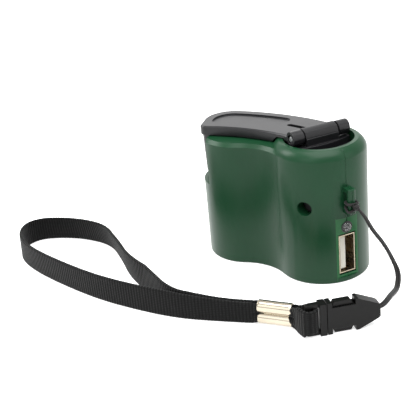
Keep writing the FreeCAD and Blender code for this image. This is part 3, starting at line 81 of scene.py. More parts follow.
# ---------------------------------------------------------------- colours and nodes
def linear(code: str) -> tuple[float, ...]:
    """Turn an sRGB hex colour into linear light.

    Args:
        code: Six hex digits, such as "3d5543".

    Returns:
        Linear red, green and blue, and an alpha of one.
    """
    shares = [int(code[start:start + 2], 16) / 255 for start in (0, 2, 4)]
    return (*(s / 12.92 if s <= 0.04045 else ((s + 0.055) / 1.055) ** 2.4 for s in shares), 1.0)


class Recipe:
    """The nodes of a material or of the world. Wherever a method takes a value, it is a plain
    number or colour, or another node's output."""

    def __init__(
        self, owner: bpy.types.Material | bpy.types.World, output: str = "ShaderNodeOutputMaterial"
    ) -> None:
        """Clear the owner's nodes down to its output.

        Args:
            owner: The material or the world.
            output: The kind of its output node.
        """
        owner.use_nodes = True
        self.owner = owner
        self.tree = owner.node_tree
        self.tree.nodes.clear()
        self.output = self.tree.nodes.new(output)

    def add(
        self, kind: str, sockets: dict[str | int, Any] | None = None, **settings: Any
    ) -> bpy.types.bpy_prop_collection:
        """Add one node with its settings, values and links.

        Args:
            kind: The node's type.
            sockets: Inputs by name or index, with their values.
            **settings: Properties of the node itself.

        Returns:
            The new node's outputs.
        """
        made = self.tree.nodes.new(kind)
        for key, value in settings.items():
            setattr(made, key, value)
        for key, value in (sockets or {}).items():
            if isinstance(value, Socket):
                self.tree.links.new(value, made.inputs[key])
            else:
                made.inputs[key].default_value = value
        return made.outputs

    def place(self) -> Socket:
        """Return the place in the piece's own coordinates."""
        return self.add("ShaderNodeTexCoord")["Object"]

    def strap_place(self) -> Socket:
        """Return the place on the piece's own map, in metres along it and across it."""
        return self.add("ShaderNodeUVMap", uv_map="strap")["UV"]

    def noise(self, place: Socket, size_mm: float, detail: float, harsh: float = 0.5) -> Socket:
        """Add soft noise whose spots are about so many millimetres wide."""
        return self.add("ShaderNodeTexNoise", {
            "Vector": place, "Scale": 1 / (size_mm * MM), "Detail": detail, "Roughness": harsh,
        })["Fac"]

    def bands(
        self, place: Socket, axis: str, pitch_mm: float, waver: float = 0.0, fine: float = 1.0
    ) -> Socket:
        """Add even bands across one axis, which waver a little as yarn does."""
        return self.add("ShaderNodeTexWave", {
            "Vector": place, "Scale": WAVE_STEP / (pitch_mm * MM), "Distortion": waver,
            "Detail": 1.0, "Detail Scale": fine,
        }, bands_direction=axis)["Fac"]

    def maths(self, operation: str, *values: Any) -> Socket:
        """Work out one operation on two or three values."""
        return self.add("ShaderNodeMath", dict(enumerate(values)), operation=operation)["Value"]

    def mix(self, share: Any, first: Any, second: Any) -> Socket:
        """Mix two colours, with the second one's share."""
        return self.add("ShaderNodeMix", {0: share, 6: first, 7: second}, data_type="RGBA")[2]

    def ranged(
        self, value: Socket, low: float, high: float, start: float = 0.0, end: float = 1.0
    ) -> Socket:
        """Carry a value from the range start to end over to the range low to high."""
        return self.add("ShaderNodeMapRange", {
            "Value": value, "From Min": start, "From Max": end, "To Min": low, "To Max": high,
        })["Result"]

    def bump(self, height: Socket, depth_mm: float, strength: float = 1.0) -> Socket:
        """Tilt the surface as if it rose and fell by so many millimetres."""
        return self.add("ShaderNodeBump", {
            "Height": height, "Distance": depth_mm * MM, "Strength": strength,
        })["Normal"]

    def seen(self) -> Socket:
        """Tell the rays that show a thing from those that let it light the object.

        Returns:
            One for rays from the camera and for those that gloss and clear pieces pass on, and
            nought for all others.
        """
        rays = self.add("ShaderNodeLightPath")
        passed_on = self.maths("MAXIMUM", rays["Is Glossy Ray"], rays["Is Transmission Ray"])
        return self.maths("MAXIMUM", rays["Is Camera Ray"], passed_on)

    def close(self, surface: Socket) -> bpy.types.Material | bpy.types.World:
        """Link the last node to the output and return the owner."""
        self.tree.links.new(surface, self.output.inputs["Surface"])
        return self.owner

    def shade(self, sockets: dict[str | int, Any]) -> bpy.types.Material:
        """End with one shader that has these inputs, and return the material."""
        return self.close(self.add("ShaderNodeBsdfPrincipled", sockets)["BSDF"])


# ---------------------------------------------------------------- finishes
@dataclass(frozen=True)
class Moulded:
    """Injection-moulded plastic. The mould's spark-eroded grain breaks up its gloss, and the flow
    of the melt leaves slow changes of tone."""

    name: str
    colour: str
    cloud_colour: str
    roughness: float
    grain_mm: float = 0.35
    grain_depth_mm: float = 0.006
    cloud_mm: float = 9.0
    gloss_change: float = 0.06
    coat: float = 0.0
    coat_roughness: float = 0.12
    speck: float = 0.0
    shine: float = 0.5
    ior: float = 1.53
    # The flat's fields place a painted highlight: a lighter colour on one flat face.
    flat_x_mm: float = 0.0
    flat_top_mm: float = 0.0
    flat_reach_mm: float = 0.02
    flat_highlight_colour: str = "000000"

    def material(self) -> bpy.types.Material:
        """Build the finish: clouded colour, changing gloss, a fine grain and, where there is one,
        the flat's lighter green, a painted highlight.

        Returns:
            The material.
        """
        recipe = Recipe(bpy.data.materials.new(self.name))
        place = recipe.place()
        cloud = recipe.noise(place, self.cloud_mm, 3.0, 0.55)
        grain = recipe.noise(place, self.grain_mm, 2.0, 0.6)
        share = recipe.add("ShaderNodeMix", {0: self.speck, 2: cloud, 3: grain}, data_type="FLOAT")
        tone = recipe.mix(share[0], linear(self.colour), linear(self.cloud_colour))
        # Painted highlight: the flat face takes a lighter green.
        if self.flat_x_mm:
            tone = recipe.mix(self.flat_highlight_mask(recipe, place), tone, linear(self.flat_highlight_colour))
        low, high = self.roughness - self.gloss_change, self.roughness + self.gloss_change
        return recipe.shade({
            "Base Color": tone,
            "Roughness": recipe.ranged(cloud, low, high),
            "Normal": recipe.bump(grain, self.grain_depth_mm),
            "IOR": self.ior,
            "Specular IOR Level": self.shine,
            "Coat Weight": self.coat,
            "Coat Roughness": self.coat_roughness,
        })

    def flat_highlight_mask(self, recipe: Recipe, place: Socket) -> Socket:
        """Pick out the flat face that takes the painted highlight. It lies at one place along X and
        ends at its top.

        Args:
            recipe: The material's nodes.
            place: The place in the piece's own coordinates.

        Returns:
            One on the flat and nought elsewhere.
        """
        axes = recipe.add("ShaderNodeSeparateXYZ", {0: place})
        level = recipe.maths("COMPARE", axes["X"], self.flat_x_mm * MM, self.flat_reach_mm * MM)
        under = recipe.maths("LESS_THAN", axes["Z"], self.flat_top_mm * MM)
        return recipe.maths("MULTIPLY", level, under)


@dataclass(frozen=True)
class Metal:
    """Bare or plated metal. Handling leaves faint scratches and patches that catch the light
    differently."""

    name: str
    colour: str
    worn_colour: str
    roughness: float
    scratch_mm: float = 0.5
    scratch_depth_mm: float = 0.003
    patch_spread: float = 6.0
    smoother: float = 0.08
    rougher: float = 0.1
    least_roughness: float = 0.03

    def material(self) -> bpy.types.Material:
        """Build the finish: a metallic base with fine scratches and rubbed patches.

        Returns:
            The material.
        """
        recipe = Recipe(bpy.data.materials.new(self.name))
        place = recipe.place()
        scratch = recipe.noise(place, self.scratch_mm, 3.0)
        patch = recipe.noise(place, self.patch_spread * self.scratch_mm, 2.0)
        low = max(self.roughness - self.smoother, self.least_roughness)
        return recipe.shade({
            "Base Color": recipe.mix(patch, linear(self.colour), linear(self.worn_colour)),
            "Metallic": 1.0,
            "Roughness": recipe.ranged(scratch, low, self.roughness + self.rougher),
            "Normal": recipe.bump(scratch, self.scratch_depth_mm),
        })


@dataclass(frozen=True)
class Webbing:
    """Woven polyester webbing. Its weft makes ribs across the strap, its warp runs in fine lines
    along it, and loose fibres give a soft sheen at grazing angles."""

    name: str
    colour: str
    light_colour: str
    rib_mm: float = 1.05
    warp_mm: float = 0.62
    fibre_mm: float = 0.25
    rib_depth_mm: float = 0.12
    roughness: float = 0.72
    shine: float = 0.12
    sheen: float = 0.08
    sheen_roughness: float = 0.4

    def material(self) -> bpy.types.Material:
        """Build the finish on the piece's own map: the tops of the ribs are lighter.

        Returns:
            The material.
        """
        recipe = Recipe(bpy.data.materials.new(self.name))
        place = recipe.strap_place()
        ribs = recipe.bands(place, "X", self.rib_mm, 0.35, 2.0)
        warp = recipe.bands(place, "Y", self.warp_mm, 0.6, 3.0)
        weave = recipe.maths("ADD", recipe.maths("MULTIPLY", ribs, warp), ribs)
        fibres = recipe.noise(place, self.fibre_mm, 2.0)
        # The weave's high places take the lighter colour, broken up by the fibres' noise.
        rib_crests = recipe.maths("MULTIPLY", recipe.ranged(weave, 0.0, 1.0, 0.2, 1.7), fibres)
        return recipe.shade({
            "Base Color": recipe.mix(rib_crests, linear(self.colour), linear(self.light_colour)),
            "Roughness": self.roughness,
            "Specular IOR Level": self.shine,
            "Sheen Weight": self.sheen,
            "Sheen Roughness": self.sheen_roughness,
            "Normal": recipe.bump(weave, self.rib_depth_mm, 0.8),
        })


@dataclass(frozen=True)
class Braid:
    """Braided polyester cord. Its crossed yarns make small slanted lozenges round the cord."""

    name: str
    colour: str
    light_colour: str
    yarn_mm: float = 0.45
    slant: float = 0.8
    depth_mm: float = 0.05
    roughness: float = 0.6
    shine: float = 0.3
    sheen: float = 0.08

    def material(self) -> bpy.types.Material:
        """Build the finish from two crossed waves on the cord's own map.

        Returns:
            The material.
        """
        recipe = Recipe(bpy.data.materials.new(self.name))
        place = recipe.strap_place()
        waves = []
        for slant in (self.slant, -self.slant):
            crossed = recipe.add("ShaderNodeMapping", {
                "Vector": place, "Rotation": (0.0, 0.0, slant),
            })
            waves.append(recipe.bands(crossed["Vector"], "X", self.yarn_mm))
        braid = recipe.maths("MULTIPLY", *waves)
        return recipe.shade({
            "Base Color": recipe.mix(braid, linear(self.colour), linear(self.light_colour)),
            "Roughness": self.roughness,
            "Specular IOR Level": self.shine,
            "Sheen Weight": self.sheen,
            "Normal": recipe.bump(braid, self.depth_mm, 0.7),
        })


@dataclass(frozen=True)
class ClearEpoxy:
    """Clear cast epoxy, as on a lamp's lens: it bends light and keeps a hard, wet gloss."""

    name: str
    colour: str
    roughness: float = 0.04
    rougher: float = 0.06
    flow_mm: float = 1.5
    clear: float = 0.9
    ior: float = 1.54

    def material(self) -> bpy.types.Material:
        """Build the finish: nearly full transmission with a few soft flow marks in its gloss.

        Returns:
            The material.
        """
        recipe = Recipe(bpy.data.materials.new(self.name))
        flow = recipe.noise(recipe.place(), self.flow_mm, 1.0)
        return recipe.shade({
            "Base Color": linear(self.colour),
            "Roughness": recipe.ranged(flow, self.roughness, self.roughness + self.rougher),
            "Transmission Weight": self.clear,
            "IOR": self.ior,
        })


class Finish(Enum):
    """Every finish on the charger."""

    SHELL = Moulded(
        "green moulded ABS", "123921", "18452b", 0.31, cloud_mm=14.0, gloss_change=0.03, shine=0.2,
        # The flat's lighter green is a painted highlight.
        flat_x_mm=14.48, flat_top_mm=22.6, flat_highlight_colour="256238",
    )
    CRANK = Moulded(
        "black moulded ABS", "101011", "202023", 0.3, grain_depth_mm=0.01, speck=0.6, shine=0.3
    )
    BUCKLE = Moulded("black moulded acetal", "0a0a0a", "111110", 0.34, shine=0.16)
    GEAR = Moulded("white moulded acetal", "dcdbd2", "e6e5dd", 0.4)
    INSERT = Moulded("ivory moulded nylon", "e4e0d2", "efece2", 0.42)
    BOARD = Moulded("green solder mask", "14402a", "1b5234", 0.3, coat=0.4)
    CHIP = Moulded("black moulded epoxy", "18181a", "222224", 0.5)
    STEEL = Metal("zinc-plated steel", "a9a9ab", "8f9092", 0.3)
    NICKEL = Metal(
        "nickel-plated steel sheet", "bcb3a2", "978a73", 0.27, scratch_mm=2.0,
        scratch_depth_mm=0.0005,
    )
    # The case screw's steel is simply coloured dark.
    DARK_STEEL = Metal("dark screw steel", "303031", "1f1f20", 0.42)
    BRASS = Metal("turned brass", "c49b4c", "a8823c", 0.28)
    COPPER = Metal("enamelled copper wire", "a8522a", "8c3f1e", 0.35, scratch_mm=0.2)
    GOLD = Metal("gold-flashed contact", "d9ae62", "c69a50", 0.22)
    FERRITE = Metal("sintered ferrite", "4a4a4c", "3a3a3c", 0.6)
    CAN = Metal("drawn aluminium can", "c2c3c6", "a9aaae", 0.3)
    CRIMP = Metal(
        "nickel-plated crimp", "cfc7b7", "a89e8b", 0.13, scratch_mm=2.4, scratch_depth_mm=0.0004
    )
    LENS = ClearEpoxy("clear epoxy", "f2f5f3")
    WEBBING = Webbing("woven polyester webbing", "0b0b0b", "262727")
    CORD = Braid("braided polyester cord", "0b0a0a", "1f1c1b")


class FinishShelf:
    """Builds each finish once and hands it out."""

    def __init__(self) -> None:
        """Start with an empty shelf."""
        self._made: dict[Finish, bpy.types.Material] = {}

    def take(self, finish: Finish) -> bpy.types.Material:
        """Return a finish's material, built on first use."""
        if finish not in self._made:
            self._made[finish] = finish.value.material()
        return self._made[finish]


# ---------------------------------------------------------------- meshes
@dataclass
class Patch:
    """One surface of quads: its points in metres, point numbers four to a row, and a UV pair for
    each point."""

    points: np.ndarray
    faces: np.ndarray
    uv: np.ndarray

    def facing_out(self) -> "Patch":
        """Turn a closed surface's faces outwards. Its volume is a sixth of the sum, over the
        triangles, of one corner times the cross product of the other two.

        Returns:
            The same surface.
        """
        corners = [self.points[self.faces[:, place]] for place in range(4)]
        crossed = np.cross(corners[1], corners[2]) + np.cross(corners[2], corners[3])
        if np.sum(corners[0] * crossed) < 0:
            self.faces = self.faces[:, ::-1]
        return self


def joined(patches: Sequence[Patch]) -> Patch:
    """Put several surfaces into one, with the later ones' point numbers moved on.

    Args:
        patches: The surfaces.

    Returns:
        One surface that holds them all.
    """
    starts = np.cumsum([0] + [len(patch.points) for patch in patches[:-1]])
    return Patch(
        np.concatenate([patch.points for patch in patches]),
        np.concatenate([patch.faces + start for patch, start in zip(patches, starts)]),
        np.concatenate([patch.uv for patch in patches]),
    )


def linked(name: str, data: bpy.types.ID) -> bpy.types.Object:
    """Hold new data in an object at the origin, linked to the scene."""
    made = bpy.data.objects.new(name, data)
    bpy.context.scene.collection.objects.link(made)
    return made


def mesh_object(name: str, patch: Patch, smooth: bool = True) -> bpy.types.Object:
    """Put a surface into a new object at the origin, with a UV map named "strap".

    Args:
        name: The piece's name.
        patch: The surface.
        smooth: Whether the faces shade smoothly.

    Returns:
        The new object.
    """
    mesh = bpy.data.meshes.new(name)
    mesh.from_pydata(patch.points.tolist(), [], patch.faces.tolist())
    layer = mesh.uv_layers.new(name="strap")
    corners = np.zeros(len(mesh.loops), np.int32)
    mesh.loops.foreach_get("vertex_index", corners)
    layer.data.foreach_set("uv", patch.uv[corners].astype(np.float32).ravel())
    mesh.polygons.foreach_set("use_smooth", np.full(len(mesh.polygons), smooth))
    mesh.update()
    return linked(name, mesh)


def ring_faces(rows: int, count: int, closed: bool) -> np.ndarray:
    """Number the quads between rings of points that follow each other.

    Args:
        rows: The rings.
        count: Points round each ring.
        closed: Whether the last ring joins the first.

    Returns:
        Four point numbers to a row.
    """
    first = np.arange(rows if closed else rows - 1)
    i, j = (a.ravel() for a in np.meshgrid(first, np.arange(count), indexing="ij"))
    down, across = (i + 1) % rows, (j + 1) % count
    return np.stack([
        i * count + j, down * count + j, down * count + across, i * count + across
    ], axis=1)


def swept(rings: np.ndarray, uv: np.ndarray, closed: bool) -> Patch:
    """Skin rings of places that follow each other along a path.

    Args:
        rings: Places in metres, as (rows, places round the ring, 3).
        uv: UV pairs, as (rows, places round the ring, 2).
        closed: Whether the last ring joins the first. Otherwise quads run across both ends.

    Returns:
        The surface, which faces outwards.
    """
    rows, count = rings.shape[:2]
    faces = ring_faces(rows, count, closed)
    if not closed:
        half = np.arange(count // 2 - 1)
        start = np.stack([half, half + 1, count - 2 - half, count - 1 - half], axis=1)
        faces = np.concatenate([faces, start, start[:, ::-1] + (rows - 1) * count])
    return Patch(rings.reshape(-1, 3), faces, uv.reshape(-1, 2)).facing_out()


def tube(
    path: np.ndarray, radius: float, beside: np.ndarray, closed: bool = False, around: int = 12
) -> Patch:
    """Carry a circle along a path: a place on it is the path's, plus the radius times the turn's
    cosine along the beside direction and its sine along the direction square to both.

    Args:
        path: Places in metres, one row each.
        radius: The tube's radius.
        beside: A direction for each place, at an angle to the path.
        closed: Whether the path is a loop.
        around: Places round the circle, an even number.

    Returns:
        The tube's surface.
    """
    heading, reach = along(path, closed)
    across = beside - heading * np.sum(heading * beside, axis=1, keepdims=True)
    across /= np.linalg.norm(across, axis=1, keepdims=True)
    over = np.cross(heading, across)
    turn = np.linspace(0.0, math.tau, around, endpoint=False)
    cosine, sine = np.cos(turn)[None, :, None], np.sin(turn)[None, :, None]
    rings = path[:, None, :] + radius * (across[:, None, :] * cosine + over[:, None, :] * sine)
    round_way = radius * np.abs(turn - math.pi)
    uv = np.stack(np.broadcast_arrays(reach[:, None], round_way[None, :]), axis=2)
    return swept(rings, uv, closed)


def turned(profile_mm: Profile | np.ndarray, foot: Place, around: int = 32) -> Patch:
    """Turn a closed profile about a line along +X: a place is the foot, plus its first number
    along X and its second times the turn's cosine along Y and sine along Z.

    Args:
        profile_mm: Distances along the line and out from it, in millimetres.
        foot: The start of the line, in metres.
        around: Places round the turn.

    Returns:
        The turned surface.
    """
    profile = np.array(profile_mm) * MM
    turn = np.linspace(0.0, math.tau, around, endpoint=False)
    reach = np.broadcast_to(profile[:, 0], (around, len(profile)))
    out = np.outer(np.ones(around), profile[:, 1])
    rings = np.stack([reach, out * np.cos(turn)[:, None], out * np.sin(turn)[:, None]], axis=2)
    return swept(rings + np.array(foot), np.stack([reach, out], axis=2), True)


def rise(value: np.ndarray) -> np.ndarray:
    """Ease from 0 to 1 as a value goes from 0 to 1: three squares less two cubes of it."""
    held = np.clip(value, 0.0, 1.0)
    return held * held * (3.0 - 2.0 * held)


def along(path: np.ndarray, closed: bool = False) -> tuple[np.ndarray, np.ndarray]:
    """Work out a path's unit headings and its length so far.

    Args:
        path: Places in metres, one row each.
        closed: Whether the last place joins the first.

    Returns:
        One heading per place, and the distance from the start at each.
    """
    if closed:
        heading = np.roll(path, -1, axis=0) - np.roll(path, 1, axis=0)
    else:
        heading = np.gradient(path, axis=0)
    heading /= np.linalg.norm(heading, axis=1, keepdims=True)
    steps = np.linalg.norm(np.diff(path, axis=0), axis=1)
    return heading, np.concatenate([[0.0], np.cumsum(steps)])


def spline_points(route: Sequence[Place], fineness: int) -> np.ndarray:
    """Read a smooth line from one open quadratic NURBS spline that ends on its end points. The
    curve is removed again.

    Args:
        route: Control points in metres.
        fineness: Steps between two control points.

    Returns:
        Places along the line, one row each.
    """
    curve = bpy.data.curves.new("route", "CURVE")
    curve.dimensions = "3D"
    curve.resolution_u = fineness
    spline = curve.splines.new("NURBS")
    spline.points.add(len(route) - 1)
    for point, place in zip(spline.points, route):
        point.co = (*place, 1.0)
    spline.order_u = 3
    spline.use_endpoint_u = True
    line = linked("route", curve)
    mesh = bpy.data.meshes.new_from_object(line)
    places = np.zeros(len(mesh.vertices) * 3)
    mesh.vertices.foreach_get("co", places)
    bpy.data.meshes.remove(mesh)
    bpy.data.objects.remove(line)
    return places.reshape(-1, 3)


def merged_copy(
    node: bpy.types.Object, name: str, edge_mm: float, parting_x_mm: float
) -> bpy.types.Object:
    """Copy a CAD node's mesh with its loose triangles merged, smooth faces and eased edges.

    Args:
        node: The CAD node's object.
        name: The new piece's name.
        edge_mm: The width of the eased edges.
        parting_x_mm: Edges in the plane y = 0 beyond this x get a groove's slope; zero for none.

    Returns:
        The new piece, at the origin.
    """
    work = bmesh.new()
    work.from_mesh(node.data)
    bmesh.ops.remove_doubles(work, verts=work.verts, dist=WELD)
    bmesh.ops.dissolve_degenerate(work, edges=work.edges, dist=SHORTEST)
    for face in work.faces:
        face.smooth = True
    for edge in work.edges:
        if len(edge.link_faces) == 2:
            edge.smooth = edge.calc_face_angle(0.0) < SHARP
    bmesh.ops.dissolve_limit(
        work, angle_limit=FLAT, verts=work.verts, edges=work.edges, delimit={"SHARP"}
    )
    if parting_x_mm:
        weight = work.edges.layers.float.new("bevel_weight_edge")
        for edge in work.edges:
            if all(abs(v.co.y) < ON_SEAM and v.co.x > parting_x_mm * MM for v in edge.verts):
                edge[weight] = 1.0
    mesh = bpy.data.meshes.new(name)
    work.to_mesh(mesh)
    work.free()
    made = linked(name, mesh)
    if parting_x_mm:
        parting = made.modifiers.new("parting line", "BEVEL")
        parting.width = GROOVE
        parting.segments = 1
        parting.limit_method = "WEIGHT"
        parting.use_clamp_overlap = False
    bevel = made.modifiers.new("eased edges", "BEVEL")
    bevel.width = edge_mm * MM
    bevel.segments = 2
    bevel.limit_method = "ANGLE"
    bevel.angle_limit = SHARP
    bevel.harden_normals = True
    bevel.use_clamp_overlap = True
    return made


# ---------------------------------------------------------------- what the sub-assemblies share
@dataclass(frozen=True)
class Refined:
    """A piece that keeps its CAD node's form. Its name is the node's with an ending."""

    node: str
    finish: Finish
    body: str
    slot: str
    ending: str = "finished"
    edge_mm: float = 0.06
    parting_x_mm: float = 0.0


@dataclass
class Workshop:
    """What every sub-assembly needs: the CAD nodes' objects and the finishes."""

    nodes: dict[str, bpy.types.Object]
    shelf: FinishShelf = field(default_factory=FinishShelf)

    def add(
        self, piece: bpy.types.Object, finish: Finish, body: str, slot: str, *nodes: str
    ) -> bpy.types.Object:
        """Finish a new piece, let it ride on its body and hide the CAD nodes that it stands for.

        Args:
            piece: The new piece, in place.
            finish: Its finish.
            body: The CAD body that it moves with.
            slot: The record's material slot; not used.
            *nodes: The CAD nodes that it replaces.

        Returns:
            The piece.
        """
        piece.data.materials.append(self.shelf.take(finish))
        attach(piece, body)
        if nodes:
            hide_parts(*nodes)
        LOG.info("%s rides on %s", piece.name, body)
        return piece

    def refine(self, plan: Refined) -> bpy.types.Object:
        """Stand a merged, eased copy in for a CAD node.

        Args:
            plan: What the copy is called and how it is dressed.

        Returns:
            The new piece.
        """
        name = f"{plan.node}_{plan.ending}"
        piece = merged_copy(self.nodes[plan.node], name, plan.edge_mm, plan.parting_x_mm)
        return self.add(piece, plan.finish, plan.body, plan.slot, plan.node)


@dataclass
class Assembly:
    """A group of pieces that keep their CAD form."""

    refined: tuple[Refined, ...] = ()

    def build(self, shop: Workshop) -> None:
        """Refine the group's pieces in their order."""
        for plan in self.refined:
            shop.refine(plan)


# ---------------------------------------------------------------- body, crank and inside
@dataclass
class Housing(Assembly):
    """The two moulded shells, with their parting line on the socket's side, and the case screw."""

    refined: tuple[Refined, ...] = (
        Refined("front_shell", Finish.SHELL, "root", "shell_green", "skin", 0.22, 13.0),
        Refined("rear_shell", Finish.SHELL, "root", "shell_green", "skin", 0.22, 13.0),
        Refined("case_screw", Finish.DARK_STEEL, "root", "steel", "dark", 0.12),
    )


@dataclass
class Crank(Assembly):
    """The hub in its well, the folding arm, the knob, and the steel pins and screws."""

    refined: tuple[Refined, ...] = (
        Refined("crank_hub", Finish.CRANK, "crank", "crank_black", "black", 0.25),
        Refined("crank_arm", Finish.CRANK, "arm", "crank_black", "black", 0.25),
        Refined("crank_knob", Finish.CRANK, "knob", "crank_black", "black", 0.25),
        Refined("hinge_pin", Finish.STEEL, "crank", "steel", "bright", 0.1),
        Refined("knob_screw", Finish.STEEL, "arm", "steel", "bright", 0.1),
        Refined("hub_washer", Finish.STEEL, "crank", "steel", "bright", 0.08),
        Refined("hub_screw", Finish.STEEL, "crank", "steel", "bright", 0.08),
    )


@dataclass
class Drive(Assembly):
    """The hidden gear train and generator."""

    refined: tuple[Refined, ...] = (
        Refined("drive_gear", Finish.GEAR, "crank", "gear_white"),
        Refined("idler_gear", Finish.GEAR, "idler", "gear_white"),
        Refined("rotor_pinion", Finish.GEAR, "rotor", "gear_white"),
        Refined("idler_axle", Finish.STEEL, "root", "steel"),
        Refined("rotor_shaft", Finish.STEEL, "rotor", "steel"),
        Refined("rotor_cup", Finish.STEEL, "rotor", "steel"),
        Refined("rotor_magnet", Finish.FERRITE, "rotor", "magnet_grey"),
        Refined("gear_plate", Finish.CHIP, "root", "component_black"),
        Refined("gear_bridge", Finish.STEEL, "root", "steel"),
        Refined("rotor_bushes", Finish.BRASS, "root", "bush_brass"),
        Refined("stator_core", Finish.FERRITE, "root", "magnet_grey"),
        Refined("stator_coils", Finish.COPPER, "root", "coil_copper"),
    )


@dataclass
class Electrics(Assembly):
    """The USB socket and the circuit board."""

    refined: tuple[Refined, ...] = (
        Refined("usb_shell", Finish.NICKEL, "root", "shell_steel"),
        Refined("usb_insert", Finish.INSERT, "root", "insert_ivory"),
        Refined("usb_contacts", Finish.GOLD, "root", "contact_gold"),
        Refined("circuit_board", Finish.BOARD, "root", "board_green"),
        Refined("capacitor", Finish.CAN, "root", "can_aluminium"),
        Refined("regulator_chip", Finish.CHIP, "root", "component_black"),
        Refined("choke", Finish.CHIP, "root", "component_black"),
        Refined("diodes", Finish.CHIP, "root", "component_black"),
    )


@dataclass
class Lamp:
    """The lamp above the socket: its clear lens, a dark ring of painted shade round it where it
    leaves the flat, and the reflector cup and lead posts inside, darkened as painted shade.
    Profiles run along the lamp and out from its middle, the ring's out from the lens's rim."""

    back: Place = (9.9 * MM, 0.0, 19.1 * MM)
    pad_face: float = 14.46 * MM
    around: int = 40
    lens_mm: float = 1.62
    barrel_mm: float = 4.4
    shade_ring_gap_mm: float = 0.02
    shade_ring_mm: Profile = ((0.0, 0.0), (0.0, 0.3), (0.22, 0.3), (0.32, 0.2), (0.32, 0.0))
    cup_ahead: float = 3.2 * MM
    cup_mm: Profile = (
        (0.0, 0.0), (0.0, 0.55), (0.9, 0.85), (0.9, 0.75), (0.35, 0.4), (0.3, 0.0),
    )
    post_mm: float = 0.24
    posts_mm: Profile = ((-0.35, 3.3), (0.95, 3.9))  # each post's step aside and its length
    post_around: int = 12

    def build(self, shop: Workshop) -> None:
        """Make the lens, its ring of painted shade and the lead frame.

        Args:
            shop: The workshop.
        """
        lens = mesh_object("lamp_lens", self.lens())
        shop.add(lens, Finish.LENS, "root", "lamp_clear", "lamp")
        # A dark ring of painted shade: it stands for the shaded gap round the lens.
        painted_shade_ring = mesh_object("lamp_painted_shade_ring", self.painted_shade_ring(), smooth=False)
        shop.add(painted_shade_ring, Finish.CHIP, "root", "component_black")
        # Painted shade: the lead frame takes the dark ferrite finish, so the lamp looks dark
        # inside.
        frame = mesh_object("lamp_lead_frame", self.lead_frame(), smooth=False)
        shop.add(frame, Finish.FERRITE, "root", "shell_steel")

    def lens(self) -> Patch:
        """Turn the clear lens: a straight barrel whose end is a half round.

        Returns:
            The lens's surface.
        """
        bend = np.linspace(0.0, math.pi / 2, 12)
        dome = self.lens_mm * np.stack([np.sin(bend), np.cos(bend)], axis=1)
        dome[-1, 1] = 0.0
        profile = np.concatenate([[(0.0, 0.0), (0.0, self.lens_mm)], dome + [self.barrel_mm, 0.0]])
        return turned(profile, self.back, self.around)

    def painted_shade_ring(self) -> Patch:
        """Turn the ring of painted shade, which stands on the flat and clears the lens by a hair.
        """
        profile = np.array(self.shade_ring_mm) + [0.0, self.lens_mm + self.shade_ring_gap_mm]
        return turned(profile, (self.pad_face, *self.back[1:]), self.around)

    def lead_frame(self) -> Patch:
        """Turn the reflector cup and both lead posts.

        Returns:
            One surface that holds all three.
        """
        x, y, z = self.back
        cup = turned(self.cup_mm, (x + self.cup_ahead, y, z))
        thick = self.post_mm
        posts = [
            turned(
                ((0.0, 0.0), (0.0, thick), (long, thick), (long, 0.0)), (x, y + step * MM, z),
                self.post_around,
            )
            for step, long in self.posts_mm
        ]
        return joined([cup, *posts])


